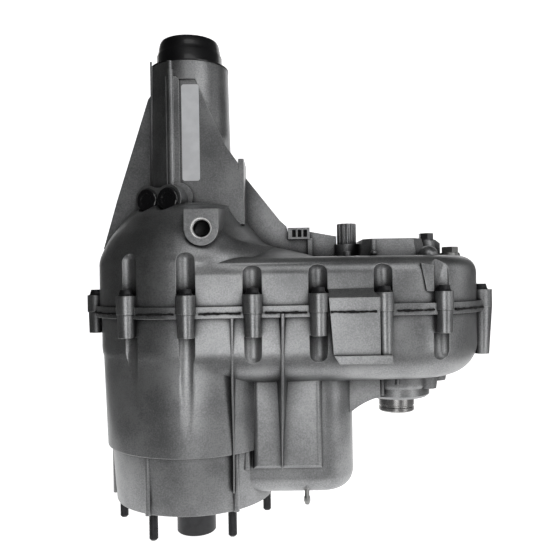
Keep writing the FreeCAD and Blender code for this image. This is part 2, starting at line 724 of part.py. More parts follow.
def front_cavity():
    """Everything hollow inside the front case."""
    low_barrel = turned(
        [(0, FRONT_WALL_TOP), (RING_SEAT_RADIUS - 6, FRONT_WALL_TOP), (RING_SEAT_RADIUS - 3, FRONT_WALL_TOP + 3),
         (RING_SEAT_RADIUS - 3, RING_SEAT_LOW - 8), (RING_LEDGE_RADIUS, RING_SEAT_LOW - 4),
         (RING_LEDGE_RADIUS, RING_SEAT_LOW), (RING_SEAT_RADIUS, RING_SEAT_LOW),
         (RING_SEAT_RADIUS, RING_SEAT_TOP), (BARREL_LOW_RADIUS - WALL, RING_SEAT_TOP + 8),
         (BARREL_RADIUS - WALL, PARTING_HEIGHT + 1), (0, PARTING_HEIGHT + 1)]
    )
    bowl = rounded_at(
        belt_prism(BARREL_RADIUS - WALL, OUTPUT_END_RADIUS - WALL, BOWL_HEIGHT + WALL, PARTING_HEIGHT + 1),
        BOWL_HEIGHT + WALL, BOWL_FILLET - WALL
    )
    inner_box = box(
        BOX_LEFT + WALL, BOX_RIGHT - WALL, BOX_FRONT + WALL, BOX_BACK - WALL, BOX_LOW + WALL, BOWL_HEIGHT + 20
    )
    upright = [
        e for e in inner_box.Edges
        if abs(e.Length - (BOWL_HEIGHT + 20 - BOX_LOW - WALL)) < 0.1 and e.BoundBox.XMin > BOX_RIGHT - WALL - 1
    ]
    inner_box = inner_box.makeFillet(BOX_CORNER - WALL, upright)
    inner_box = rounded_at(inner_box, BOX_LOW + WALL, BOX_BOTTOM_FILLET - WALL)
    inner_box = inner_box.cut(cylinder(RING_SEAT_RADIUS + WALL, 0, RING_SEAT_TOP + 8))
    whole = low_barrel.fuse([bowl, inner_box])
    keep = boss_columns(FLUTE_RADIUS + FLUTE_WALL, STEP_HEIGHT - 40, PARTING_HEIGHT + 2)
    keep += [cylinder(STUD_BOSS_RADIUS, 0, STUD_DEPTH + WALL, x, y) for x, y in stud_places()]
    keep.append(cylinder(BEARING_HUB_RADIUS, 0, INPUT_BEARING_LOW + INPUT_BEARING_WIDTH + 3))
    keep.append(cylinder(OUTPUT_BOSS_RADIUS + 3, BOWL_HEIGHT - 10, BOWL_HEIGHT + 14, CENTRE_DISTANCE))
    keep.append(cylinder(RAIL_RADIUS + 6, 0, RAIL_LOW + 12, RAIL_X))
    keep.append(Part.makeCylinder(SECTOR_SHAFT_RADIUS + 5, 16, Vector(SECTOR_X, BOX_FRONT - 4, SECTOR_Z), Vector(0, 1, 0)))
    return cut_all(whole, keep)


def front_bores():
    """The bores, seats and holes of the front case."""
    c = CENTRE_DISTANCE
    bearing_top = INPUT_BEARING_LOW + INPUT_BEARING_WIDTH
    tools = [
        cylinder(RECESS_RADIUS, -1, RECESS_DEPTH),
        cylinder(INPUT_BEARING_OUTER, RECESS_DEPTH - 1, bearing_top),
        cylinder(INPUT_BEARING_OUTER - 4, bearing_top - 1, bearing_top + 6),
        cylinder(OUTPUT_SEAL_RADIUS, OUTPUT_BOSS_END - 1, OUTPUT_BOSS_END + OUTPUT_SEAL_WIDTH, c),
        cylinder(OUTPUT_SEAL_RADIUS - 4, OUTPUT_BOSS_END, OUTPUT_BEARING_LOW + 1, c),
        cylinder(OUTPUT_BEARING_OUTER, OUTPUT_BEARING_LOW, BOWL_HEIGHT + 16, c),
        cylinder(RAIL_RADIUS + FIT, RAIL_LOW - FIT, RAIL_LOW + 14, RAIL_X),
    ]
    tools += [cylinder(STUD_ROOT_RADIUS + FIT, -1, STUD_DEPTH + 1, x, y) for x, y in stud_places()]
    tools += [cylinder(STUD_RADIUS + STUD_RELIEF, -1, STUD_RELIEF_DEPTH, x, y) for x, y in stud_places()]
    bolt_low = PARTING_HEIGHT - BOLT_ENGAGEMENT
    tools += [cylinder(BOLT_RADIUS + FIT, bolt_low - 2, PARTING_HEIGHT + 1, x, y) for x, y in bolt_places()]
    for k in range(RETAINER_BOLTS):
        x, y = polar(RETAINER_BOLT_CIRCLE, 30 + k * 360 / RETAINER_BOLTS)
        tools.append(cylinder(RETAINER_BOLT_RADIUS + FIT, RECESS_DEPTH - 1, FRONT_WALL_TOP - 1.5, x, y))
    for x, y in dowel_places():
        tools.append(cylinder(DOWEL_RADIUS, PARTING_HEIGHT - DOWEL_DEPTH - 1, PARTING_HEIGHT + 1, x, y))
    shaft_low = BOX_FRONT + WALL + 4
    tools.append(
        Part.makeCylinder(
            SECTOR_SHAFT_RADIUS + FIT, BOX_BACK + 20 - shaft_low, Vector(SECTOR_X, shaft_low, SECTOR_Z), Vector(0, 1, 0)
        )
    )
    seal_low = BOX_BACK + SHIFT_BOSS - SHIFT_SEAL_WIDTH
    tools.append(
        Part.makeCylinder(
            SHIFT_SEAL_RADIUS, SHIFT_SEAL_WIDTH + 5, Vector(SECTOR_X, seal_low, SECTOR_Z), Vector(0, 1, 0)
        )
    )
    tools.append(cylinder(VENT_RADIUS + FIT, BOX_LOW - 20, VENT_HEIGHT, VENT_X, VENT_Y))
    return tools


def dowel_places():
    """Where the two hollow dowels line the castings up."""
    places = bolt_places()
    return [places[k] for k in DOWEL_BOLTS]


def front_case():
    """The front half of the case: input barrel, chain bowl and shift housing."""
    parts = front_shell()
    top = PARTING_HEIGHT
    for k, (x, y) in enumerate(bolt_places()):
        low = top - LONG_BOSSES.get(k, FRONT_BOSS_HEIGHT)
        wide = FLARED_BOSSES.get(k, FRONT_BOSS_RADIUS)
        parts.append(Part.makeCone(FRONT_BOSS_RADIUS - 0.6, wide, top - low, Vector(x, y, low)))
    plate, ledge = front_pad()
    below = box(-400, 600, -300, 300, 0, PARTING_HEIGHT)
    solid = joined(parts)
    solid = cut_all(solid, front_flutes())
    extra = [plate.common(below), ledge, gusset()]
    extra += front_ribs()
    extra += [cylinder(STUD_BOSS_RADIUS, 0, STUD_DEPTH + WALL, x, y) for x, y in stud_places()]
    extra += [cylinder(STUD_RIDGE_RADIUS, 0, STEP_HEIGHT + 0.5, x, y) for x, y in stud_ridges()]
    extra.append(
        Part.makeCylinder(SHIFT_BOSS_RADIUS, SHIFT_BOSS + 20, Vector(SECTOR_X, BOX_BACK - 20, SECTOR_Z), Vector(0, 1, 0))
    )
    extra.append(Part.makeCone(VENT_BOSS - 1, VENT_BOSS, 34, Vector(VENT_X, VENT_Y, VENT_BOSS_LOW)))
    solid = solid.fuse(extra)
    solid = solid.cut(front_cavity())
    solid = cut_all(solid, front_bores())
    return solid.removeSplitter()


def front_ribs():
    """The ribs on the front wall of the front case."""
    top = PARTING_HEIGHT - 1
    return [
        hanging_rib([
            (RIB_X + 1.3, top, 7.0, -95, -113, 1.4), (RIB_X, BOWL_HEIGHT, 6.5, -70, -99, 1.2),
            (RIB_X - 1.8, RIB_LOW, 0.9, -68, -83, 0.3),
        ]),
        hanging_rib([
            (THIN_RIB_X + 1.5, top, 6.5, -78, -112, 1.4), (THIN_RIB_X, BOWL_HEIGHT, 4.6, -70, -101, 1.0),
            (THIN_RIB_X - 0.2, THIN_RIB_LOW, 1.8, -60, -92, 0.8), (THIN_RIB_X - 1.2, 22, 1.3, -60, -86, 0.6),
        ]),
        cylinder(4.6, COLUMN_LOW, BOWL_HEIGHT + 22, COLUMN_X, BOX_FRONT - 3.5),
    ]


def rear_dome(base_radius, top_radius, low, spring, top):
    """The domed turn round the main shaft, on a curve of shares of its width and height."""
    arc_points = [
        Vector(top_radius + out * (base_radius - top_radius), 0, spring + rise * (top - spring))
        for out, rise in DOME_SHAPE
    ]
    curve = Part.BSplineCurve()
    curve.interpolate(arc_points)
    edges = [
        Part.LineSegment(Vector(0, 0, low), Vector(base_radius, 0, low)).toShape(),
        Part.LineSegment(Vector(base_radius, 0, low), arc_points[0]).toShape(),
        curve.toShape(),
        Part.LineSegment(arc_points[-1], Vector(0, 0, top)).toShape(),
        Part.LineSegment(Vector(0, 0, top), Vector(0, 0, low)).toShape(),
    ]
    return Part.Face(Part.Wire(edges)).revolve(Vector(0, 0, 0), Vector(0, 0, 1), 360)


def dome_side(inset):
    """The hollow sweep that limits the dome towards the front output, turned about its own axis."""
    points = [Vector(r - inset, 0, SHOULDER_HEIGHT + z - inset) for r, z in DOME_SIDE_SHAPE]
    curve = Part.BSplineCurve()
    curve.interpolate(points)
    low = PARTING_HEIGHT - 5
    first = Vector(points[0].x, 0, low)
    last = Vector(points[-1].x, 0, DOME_TOP_HEIGHT + 5)
    edges = [
        Part.LineSegment(Vector(0, 0, low), first).toShape(),
        Part.LineSegment(first, points[0]).toShape(),
        curve.toShape(),
        Part.LineSegment(points[-1], last).toShape(),
        Part.LineSegment(last, Vector(0, 0, last.z)).toShape(),
        Part.LineSegment(Vector(0, 0, last.z), Vector(0, 0, low)).toShape(),
    ]
    whole = Part.Face(Part.Wire(edges)).revolve(Vector(0, 0, 0), Vector(0, 0, 1), 360)
    whole.translate(Vector(DOME_SIDE_X, 0, 0))
    return whole


def saddle():
    """The crowned metal between the dome and the flat back of the case."""
    top = SHOULDER_HEIGHT + SADDLE_RISE
    roll = Part.makeCylinder(SADDLE_RADIUS, 110, Vector(50, 0, top - SADDLE_RADIUS), Vector(1, 0, 0))
    roll = roll.common(box(50, 160, -95, 95, SHOULDER_HEIGHT - 8, top + 1))
    return roll.common(dome_side(0))


def web_plate(points, low_y, high_y):
    """A flat web standing on the XZ plane."""
    corners = [Vector(px, low_y, pz) for px, pz in points]
    return Part.Face(Part.makePolygon(corners + corners[:1])).extrude(Vector(0, high_y - low_y, 0))


def rear_shell():
    """The rear case's outer form before its grooves and bores."""
    body = rounded_at(
        belt_prism(REAR_BARREL_RADIUS, OUTPUT_END_RADIUS, PARTING_HEIGHT, SHOULDER_HEIGHT),
        SHOULDER_HEIGHT, SHOULDER_FILLET
    )
    dome = rear_dome(REAR_BARREL_RADIUS, DOME_TOP_RADIUS, PARTING_HEIGHT, SHOULDER_HEIGHT, DOME_TOP_HEIGHT)
    dome = dome.common(dome_side(0))
    flare = Part.makeCone(DOME_TOP_RADIUS - 1, TAIL_BASE_RADIUS, 10, Vector(0, 0, DOME_TOP_HEIGHT - 1))
    tail = Part.makeCone(TAIL_BASE_RADIUS, TAIL_RADIUS, TAIL_END_HEIGHT - DOME_TOP_HEIGHT, Vector(0, 0, DOME_TOP_HEIGHT))
    pad = Part.makeCone(REAR_PAD_RADIUS + 8, REAR_PAD_RADIUS, REAR_PAD_RISE + 6,
                        Vector(CENTRE_DISTANCE, 0, SHOULDER_HEIGHT - 6))
    lip = belt_prism(
        REAR_BARREL_RADIUS + LIP_WIDTH - 2, OUTPUT_END_RADIUS + LIP_WIDTH,
        PARTING_HEIGHT, PARTING_HEIGHT + REAR_LIP_THICKNESS
    )
    return [body, dome, saddle(), flare, tail, pad, lip]


def label_outline(right_low, left_low):
    """The flat face on the tail that carries the label, seen from the front."""
    end = TAIL_END_HEIGHT
    return [
        (-14, end - 22), (12, end - 22), (46, end - 99), (60, end - 119), (63, right_low), (-14, left_low)
    ]


def rear_webs():
    """The webs, ribs and raised faces on the tail and the back of the rear case."""
    face_y = -TAIL_RADIUS + 2
    end = TAIL_END_HEIGHT
    deck = SHOULDER_HEIGHT
    label_face = web_plate(label_outline(deck + 36, deck + 52), face_y, 0)
    left_web = web_plate(
        [(-40, end - 19), (-51, end - 33), (-91, deck + 74), (-108, deck + 16), (-40, deck + 16)], -4, 4
    )
    right_web = web_plate(
        [(40, end - 111), (64, end - 127), (108.2, deck + 47), (116, deck + 40), (119, deck + 26),
         (141.5, deck + 26), (141.5, deck - 5), (40, deck - 5)], -4, 4
    )
    rib = web_plate([(60.5, end - 115), (67, end - 115), (67, deck + 40), (60.5, deck + 40)], face_y, 10)
    left_rib = web_plate([(-44, end + 6), (-36.5, end + 6), (-36.5, deck + 60), (-44, deck + 60)], -24, 4)
    strip = web_plate(
        [(-22, end - 19), (-10, end - 19), (-6.5, end - 23), (-6.5, deck + 65), (-22, deck + 65)], face_y - 2.4, 0
    )
    round_rib = cylinder(4.5, deck + 70, end - 11, -16.8, face_y)
    post = cylinder(3.3, end - 13, end - 1, -16.8, face_y)
    back_label = web_plate(
        [(-30, end - 22), (30, end - 22), (52, end - 119), (56, deck + 58), (-56, deck + 58), (-52, end - 119)],
        0, -face_y
    )
    return [label_face, left_web, right_web, rib, left_rib, strip, round_rib, post, back_label]


def hollow_lug():
    """The small lug with three windows at the end of the right web."""
    deck = SHOULDER_HEIGHT
    block = box(117.5, 144, -9, 9, deck + 24, deck + 38)
    windows = [box(x, x + 4.6, -10, 5, deck + 26.5, deck + 35.5) for x in (122.5, 129.3, 136.1)]
    fin = box(141.5, 147, -8, 8, deck - 4, deck + 25)
    return [cut_all(block, windows), fin]


def rear_plateau():
    """The raised boss with sloping sides round the front output's rear journal."""
    deck = SHOULDER_HEIGHT
    outline = [(205, -34), (214, -44), (262, -44), (275, -30), (275, 34), (262, 46), (214, 46), (205, 36)]
    foot = Part.makePolygon([Vector(240 + (x - 240) * 1.14, y * 1.14, deck - 4) for x, y in outline + outline[:1]])
    head = Part.makePolygon([Vector(x, y, REAR_PAD_HEIGHT) for x, y in outline + outline[:1]])
    return Part.makeLoft([foot, head], True, True)


def raised_panel():
    """The flat raised face on the front wall beside the pocket near the front output."""
    deck = SHOULDER_HEIGHT
    outline = [(259, deck - 9.5), (279.4, deck - 13), (285.7, deck - 23), (286.5, deck - 40), (265, deck - 40)]
    return cut_all(web_plate(outline, -97.5, -70), flat_pockets())


def back_details():
    """Bosses and ribs on the flat back of the rear case."""
    deck = SHOULDER_HEIGHT
    details = [
        cylinder(RAIL_CAP_RADIUS + 3.5, deck - 4, RAIL_CAP_LOW, CAP_X),
        Part.makeCone(HEX_A_RADIUS + 5, HEX_A_RADIUS + 2, HEX_A_LOW - deck + 4, Vector(HEX_A_X, HEX_A_Y, deck - 4)),
        cylinder(HEX_B_RADIUS + 4, deck - 14, HEX_B_LOW, HEX_B_X, HEX_B_Y),
        cylinder(4.0, deck - 4, deck + 19, 214, -55),
        Part.makeSphere(3.8, Vector(214, -60, deck + 3.6)),
        cylinder(11.5, deck - 18, deck, 276, -58),
        Part.makeSphere(11.5, Vector(276, -58, deck - 0.4)),
        cylinder(4.5, deck - 4, deck + 6, 183, -62),
        web_plate([(143, deck + 33.6), (178, deck + 26.9), (178, deck - 3), (143, deck - 3)], -2.2, 2.2),
        raised_panel(),
        rear_plateau(),
    ]
    details += hollow_lug()
    slope = [(30, deck - 10), (88, deck - 10), (50, REAR_PAD_HEIGHT - 1), (30, REAR_PAD_HEIGHT - 1)]
    for angle in (-24, 24):
        run = web_plate(slope, -2.5, 2.5)
        run.rotate(Vector(0, 0, 0), Vector(0, 0, 1), angle)
        run.translate(Vector(CENTRE_DISTANCE, 0, 0))
        details.append(run)
    return details


def sensor_frame(offset):
    """The place and direction of one sensor port."""
    angle = math.radians(-90 - SENSOR_TURN)
    out = Vector(math.cos(angle), math.sin(angle), 0)
    side = Vector(-out.y, out.x, 0)
    return Vector(SENSOR_X, SENSOR_Y, SENSOR_HEIGHT) + side * offset, out


def sensor_bosses():
    """The joined pair of sensor bosses with their flat foot, and the round lobe beside them."""
    bosses = []
    length = SENSOR_BOSS_LENGTH
    for offset in (-SENSOR_SPACING / 2, SENSOR_SPACING / 2):
        middle, out = sensor_frame(offset)
        bosses.append(Part.makeCylinder(SENSOR_BOSS_RADIUS, length, middle - out * length, out))
    middle, out = sensor_frame(0)
    bridge = Part.makeBox(SENSOR_SPACING, 2 * SENSOR_BOSS_RADIUS - 3, length)
    bridge.translate(Vector(-SENSOR_SPACING / 2, -SENSOR_BOSS_RADIUS, 0))
    foot = Part.makeBox(SENSOR_SPACING + 2 * SENSOR_BOSS_RADIUS - 4, SENSOR_BOSS_RADIUS - 4, length)
    foot.translate(Vector(-SENSOR_SPACING / 2 - SENSOR_BOSS_RADIUS, -SENSOR_BOSS_RADIUS, 0))
    for piece in (bridge, foot):
        piece.rotate(Vector(0, 0, 0), Vector(1, 0, 0), 90)
        piece.rotate(Vector(0, 0, 0), Vector(0, 0, 1), -SENSOR_TURN)
        piece.translate(middle)
    turned_back = [bridge, foot]
    for piece in turned_back:
        piece.translate(out * -length)
    lobe = Part.makeCylinder(17.0, 20, Vector(-9, -29, SENSOR_HEIGHT + 3), Vector(0, -1, 0))
    return bosses + turned_back + [lobe]


def fill_boss():
    """The boss of the fill port: round below with a square top, and tapered so that it leaves the mould."""
    base_y = -FILL_FACE + 47
    grow = FILL_DRAFT
    r = FILL_PAD_RADIUS
    round_part = Part.makeCone(r + grow, r, 47, Vector(FILL_X, base_y, FILL_HEIGHT), Vector(0, -1, 0))
    face = [(-r, -2), (r, -2), (r, r + 2), (-r, r + 2)]
    wide = [(-r - grow, -2), (r + grow, -2), (r + grow, r + 2 + grow), (-r - grow, r + 2 + grow)]
    ends = []
    for outline, y in ((wide, base_y), (face, -FILL_FACE)):
        ends.append(Part.makePolygon([Vector(FILL_X + px, y, FILL_HEIGHT + pz) for px, pz in outline + outline[:1]]))
    return round_part.fuse(Part.makeLoft(ends, True, True))


def rear_cavity():
    """Everything hollow inside the rear case."""
    body = rounded_at(
        belt_prism(REAR_BARREL_RADIUS - WALL, OUTPUT_END_RADIUS - WALL, PARTING_HEIGHT - 1, SHOULDER_HEIGHT - WALL),
        SHOULDER_HEIGHT - WALL, SHOULDER_FILLET - WALL
    )
    dome = rear_dome(
        REAR_BARREL_RADIUS - WALL, DOME_TOP_RADIUS - WALL, PARTING_HEIGHT - 1, SHOULDER_HEIGHT - 6, DOME_TOP_HEIGHT - 10
    )
    dome = dome.common(dome_side(WALL - 1))
    keep = boss_columns(FLUTE_RADIUS + FLUTE_WALL, PARTING_HEIGHT - 2, SHOULDER_HEIGHT + 40)
    keep.append(cylinder(REAR_BEARING_OUTER + 8, REAR_WALL_LOW, TAIL_END_HEIGHT))
    keep.append(cylinder(OUTPUT_NEEDLE_RADIUS + 7, OUTPUT_NEEDLE_LOW - 2, SHOULDER_HEIGHT + 10, CENTRE_DISTANCE))
    keep.append(cylinder(RAIL_RADIUS + 6, RAIL_TOP - RAIL_SEAT, RAIL_TOP + 10, RAIL_X))
    keep.append(Part.makeCylinder(FILL_PAD_RADIUS - 2, 60, Vector(FILL_X, -FILL_FACE + FILL_DEPTH - 60, FILL_HEIGHT), Vector(0, 1, 0)))
    return cut_all(body.fuse(dome), keep)


def rear_bores():
    """The bores, seats and holes of the rear case."""
    c = CENTRE_DISTANCE
    tail = turned(
        [(0, REAR_WALL_LOW - 1), (REAR_BEARING_OUTER - 6, REAR_WALL_LOW - 1), (REAR_BEARING_OUTER - 6, REAR_BEARING_LOW),
         (REAR_BEARING_OUTER, REAR_BEARING_LOW), (REAR_BEARING_OUTER, REAR_WALL_TOP), (TAIL_BORE_RADIUS, REAR_WALL_TOP),
         (TAIL_BORE_RADIUS, BUSHING_LOW - 80), (BUSHING_RADIUS + 3, BUSHING_LOW - 64), (BUSHING_RADIUS + 3, BUSHING_LOW),
         (BUSHING_RADIUS, BUSHING_LOW), (BUSHING_RADIUS, TAIL_END_HEIGHT - SEAL_SEAT_DEPTH),
         (SEAL_SEAT_RADIUS, TAIL_END_HEIGHT - SEAL_SEAT_DEPTH), (SEAL_SEAT_RADIUS, TAIL_END_HEIGHT + 20),
         (0, TAIL_END_HEIGHT + 20)]
    )
    tools = [tail, cylinder(OUTPUT_NEEDLE_RADIUS, OUTPUT_NEEDLE_LOW - 3, OUTPUT_SHAFT_TOP + 3, c)]
    tools.append(cylinder(RAIL_RADIUS + FIT, RAIL_TOP - RAIL_SEAT - 2, RAIL_TOP + FIT, RAIL_X))
    base = PARTING_HEIGHT + REAR_BOSS_HEIGHT
    tools += [cylinder(BOLT_RADIUS + BOLT_CLEARANCE, PARTING_HEIGHT - 1, base + 1, x, y) for x, y in bolt_places()]
    tools += [cylinder(DOWEL_RADIUS, PARTING_HEIGHT - 1, PARTING_HEIGHT + DOWEL_DEPTH, x, y) for x, y in dowel_places()]
    for offset in (-SENSOR_SPACING / 2, SENSOR_SPACING / 2):
        middle, out = sensor_frame(offset)
        tools.append(Part.makeCylinder(SENSOR_HOLE_RADIUS, 40, middle - out * 30, out))
        tools.append(Part.makeCylinder(SENSOR_CAP_RADIUS + 0.7, 30, middle, out))
    tools.append(cylinder(TAIL_RADIUS + 1, TAIL_END_HEIGHT, TAIL_END_HEIGHT + 30))
    inner = -FILL_FACE + FILL_DEPTH
    tools.append(Part.makeCylinder(FILL_BORE_RADIUS, FILL_DEPTH + 1, Vector(FILL_X, inner, FILL_HEIGHT), Vector(0, -1, 0)))
    tools.append(Part.makeCylinder(FILL_BORE_RADIUS + 2.4, 24, Vector(FILL_X, inner + 24, FILL_HEIGHT), Vector(0, -1, 0)))
    tools.append(Part.makeCylinder(FILL_BORE_RADIUS + 1.7, 5, Vector(FILL_X, -FILL_FACE + 3, FILL_HEIGHT), Vector(0, -1, 0)))
    tools.append(cylinder(HEX_A_THREAD + FIT, HEX_A_LOW - 14, HEX_A_LOW + 5, HEX_A_X, HEX_A_Y))
    tools.append(cylinder(HEX_B_THREAD + FIT, HEX_B_LOW - 24, HEX_B_LOW + 5, HEX_B_X, HEX_B_Y))
    tools.append(cylinder(RAIL_CAP_STEM + FIT, RAIL_CAP_LOW - 16, RAIL_CAP_LOW + 5, CAP_X))
    tools.append(cylinder(RAIL_CAP_RADIUS + 1.2, RAIL_CAP_LOW, RAIL_CAP_LOW + 30, CAP_X))
    tools.append(cylinder(HEX_A_RADIUS + 1.5, HEX_A_LOW, HEX_A_LOW + 30, HEX_A_X, HEX_A_Y))
    tools.append(cylinder(HEX_B_RADIUS + 2.0, HEX_B_LOW, HEX_B_LOW + 30, HEX_B_X, HEX_B_Y))
    return tools


def rear_case():
    """The rear half of the case: chain cover, dome and tail housing."""
    parts = rear_shell()
    base = PARTING_HEIGHT
    for k, (x, y) in enumerate(bolt_places()):
        wide = FLARED_BOSSES.get(k, REAR_BOSS_RADIUS)
        parts.append(cylinder(wide, base, base + REAR_BOSS_HEIGHT, x, y))
    solid = joined(parts)
    flat_low = TAIL_END_HEIGHT - 166
    flat = web_plate(label_outline(flat_low, flat_low), -TAIL_RADIUS - 20, -TAIL_RADIUS + 2)
    solid = cut_all(solid, rear_flutes() + [flat])
    plate, _ledge = front_pad()
    above = box(-400, 600, -300, 300, PARTING_HEIGHT, PARTING_HEIGHT + 380)
    clear = [cylinder(FLUTE_RADIUS, base + REAR_BOSS_HEIGHT, base + 60, x, y) for x, y in bolt_places()]
    extra = [cut_all(plate.common(above), clear)] + rear_webs() + back_details() + sensor_bosses() + [fill_boss()]
    solid = solid.fuse(extra)
    solid = solid.cut(rear_cavity())
    solid = cut_all(solid, rear_bores())
    return solid.removeSplitter()


def sealant():
    """The bead of sealant squeezed from the joint, broken where the bolt bosses stand."""
    grow = LIP_WIDTH - 2
    outer = belt_prism(
        REAR_BARREL_RADIUS + grow + SEALANT_PROUD, OUTPUT_END_RADIUS + LIP_WIDTH + SEALANT_PROUD,
        PARTING_HEIGHT - 0.8, PARTING_HEIGHT + 0.8
    )
    inner = belt_prism(
        REAR_BARREL_RADIUS + grow, OUTPUT_END_RADIUS + LIP_WIDTH, PARTING_HEIGHT - 2, PARTING_HEIGHT + 2
    )
    tools = [inner]
    for k, (x, y) in enumerate(bolt_places()):
        wide = FLARED_BOSSES.get(k, REAR_BOSS_RADIUS) + 0.3
        tools.append(cylinder(wide, PARTING_HEIGHT - 20, PARTING_HEIGHT + 20, x, y))
    plate, _ledge = front_pad()
    return cut_all(outer, tools + [plate])


def hex_prism(flats, low, high, x=0.0, y=0.0):
    """A six-sided bolt head."""
    corner = flats / math.sqrt(3)
    return polygon_prism([polar(corner, 30 + 60 * k, x, y) for k in range(6)], low, high)


def case_bolts():
    """The flange bolts that hold the two castings together."""
    base = PARTING_HEIGHT + REAR_BOSS_HEIGHT
    bolts = []
    for x, y in bolt_places():
        shank = cylinder(BOLT_RADIUS, PARTING_HEIGHT - BOLT_ENGAGEMENT, base, x, y)
        washer = Part.makeCone(BOLT_HEAD_FLANGE_RADIUS, BOLT_HEAD_FLANGE_RADIUS - 1.5, BOLT_FLANGE_HEIGHT, Vector(x, y, base))
        head = hex_prism(BOLT_HEAD_FLATS, base + BOLT_FLANGE_HEIGHT, base + BOLT_HEAD_HEIGHT, x, y)
        dome = Part.makeCone(BOLT_HEAD_FLATS / 2 + 1.4, BOLT_HEAD_FLATS / 2 - 0.4, BOLT_HEAD_HEIGHT, Vector(x, y, base))
        bolts.append(joined([shank, washer, head.common(dome.fuse(washer))]))
    return Part.makeCompound(bolts)


def dowel_pins():
    """Two hollow dowels round two of the bolts."""
    low = PARTING_HEIGHT - DOWEL_DEPTH
    high = PARTING_HEIGHT + DOWEL_DEPTH - 1
    return Part.makeCompound(
        [ring(BOLT_RADIUS + BOLT_CLEARANCE, DOWEL_RADIUS - FIT, low, high, x, y) for x, y in dowel_places()]
    )


def input_studs():
    """The studs in the input flange, with rounded tips."""
    tip = STUD_PROUD - 1.5
    return Part.makeCompound(
        [turned([(0, -STUD_PROUD), (STUD_RADIUS - 1.5, -STUD_PROUD), (STUD_RADIUS, -tip), (STUD_RADIUS, 0),
                 (STUD_ROOT_RADIUS, 0), (STUD_ROOT_RADIUS, STUD_DEPTH), (0, STUD_DEPTH)], x, y) for x, y in stud_places()]
    )


def bearing_retainer():
    """The bolted plate and snout that hold the input bearing and its seal."""
    low = RECESS_DEPTH - 5
    shape = turned(
        [(INPUT_SEAL_RADIUS + 3, low - RETAINER_SNOUT_LENGTH + 8), (INPUT_SEAL_RADIUS + 8, low - RETAINER_SNOUT_LENGTH + 8),
         (INPUT_SEAL_RADIUS + 8, low - RETAINER_SNOUT_LENGTH), (RETAINER_SNOUT_RADIUS - 1, low - RETAINER_SNOUT_LENGTH),
         (RETAINER_SNOUT_RADIUS, low - RETAINER_SNOUT_LENGTH + 1), (RETAINER_SNOUT_RADIUS, low),
         (RETAINER_RADIUS, low), (RETAINER_RADIUS, RECESS_DEPTH), (INPUT_BEARING_OUTER - 0.1, RECESS_DEPTH),
         (INPUT_BEARING_OUTER - 0.1, INPUT_BEARING_LOW), (INPUT_BEARING_OUTER - 6, INPUT_BEARING_LOW),
         (INPUT_BEARING_OUTER - 6, RECESS_DEPTH), (INPUT_SEAL_RADIUS + 8, RECESS_DEPTH - 2),
         (INPUT_SEAL_RADIUS + 3, RECESS_DEPTH - 2)]
    )
    holes = []
    for k in range(RETAINER_BOLTS):
        x, y = polar(RETAINER_BOLT_CIRCLE, 30 + k * 360 / RETAINER_BOLTS)
        holes.append(cylinder(RETAINER_BOLT_RADIUS + 0.3, low - 1, RECESS_DEPTH + 1, x, y))
    return cut_all(shape, holes)


def retainer_bolts():
    """The screws of the bearing retainer."""
    low = RECESS_DEPTH - 5
    screws = []
    for k in range(RETAINER_BOLTS):
        x, y = polar(RETAINER_BOLT_CIRCLE, 30 + k * 360 / RETAINER_BOLTS)
        shank = cylinder(RETAINER_BOLT_RADIUS, low, FRONT_WALL_TOP - 2.5, x, y)
        screws.append(shank.fuse(hex_prism(9.0, low - 2.6, low, x, y)))
    return Part.makeCompound(screws)


def lip_seal(shaft, outer, low, high, x=0.0):
    """A rubber shaft seal: a rim, a flat web and a slanted lip that clears the shaft by a hair."""
    bore = shaft + SEAL_RUN_CLEARANCE
    return turned(
        [(bore, high - 2), (bore + 2.5, high), (outer, high), (outer, low), (outer - 3, low), (outer - 3, high - 3),
         (bore + 3, high - 3), (bore, high - 3.6)], x
    )


def input_seal():
    """The seal round the input snout."""
    low = RECESS_DEPTH - 5 - RETAINER_SNOUT_LENGTH
    return lip_seal(INPUT_SEAL_RADIUS, INPUT_SEAL_RADIUS + 8 - FIT, low, low + 7.9)


def bearing(inner, outer, low, width, x=0.0):
    """A shielded ball bearing: an inner ring, an outer ring and the shielded space between them."""
    step = (outer - inner) * 0.3
    high = low + width
    rings = [
        turned([(inner, low + 1), (inner + 1, low), (inner + step, low), (inner + step, high), (inner + 1, high),
                (inner, high - 1)], x),
        turned([(outer - step, low), (outer - 1, low), (outer, low + 1), (outer, high - 1), (outer - 1, high),
                (outer - step, high)], x),
        ring(inner + step, outer - step, low + 1.2, high - 1.2, x),
    ]
    return Part.makeCompound(rings)


def needle_ring(inner, outer, low, high, x=0.0):
    """A drawn-cup needle bearing as one ring with turned-in lips."""
    return turned(
        [(inner, low + 1), (inner + 1, low), (outer - 1, low), (outer, low + 1), (outer, high - 1),
         (outer - 1, high), (inner + 1, high), (inner, high - 1)], x
    )


def ring_gear():
    """The fixed ring gear of the planetary set."""
    blank = ring(GEAR_MODULE * RING_TEETH / 2 - ADDENDUM - 2, RING_SEAT_RADIUS - FIT, RING_SEAT_LOW, RING_SEAT_TOP - 3)
    return blank.cut(ring_gear_hole(RING_SEAT_LOW - 1, RING_SEAT_TOP))


def ring_snap_ring():
    """The open snap ring that keeps the ring gear in its seat."""
    low = RING_SEAT_TOP - 2.9
    whole = ring(RING_SEAT_RADIUS - 5, RING_SEAT_RADIUS - FIT, low, low + 2.4)
    return whole.cut(polygon_prism([(0, 0), polar(100, 84), polar(100, 96)], low - 1, low + 4))


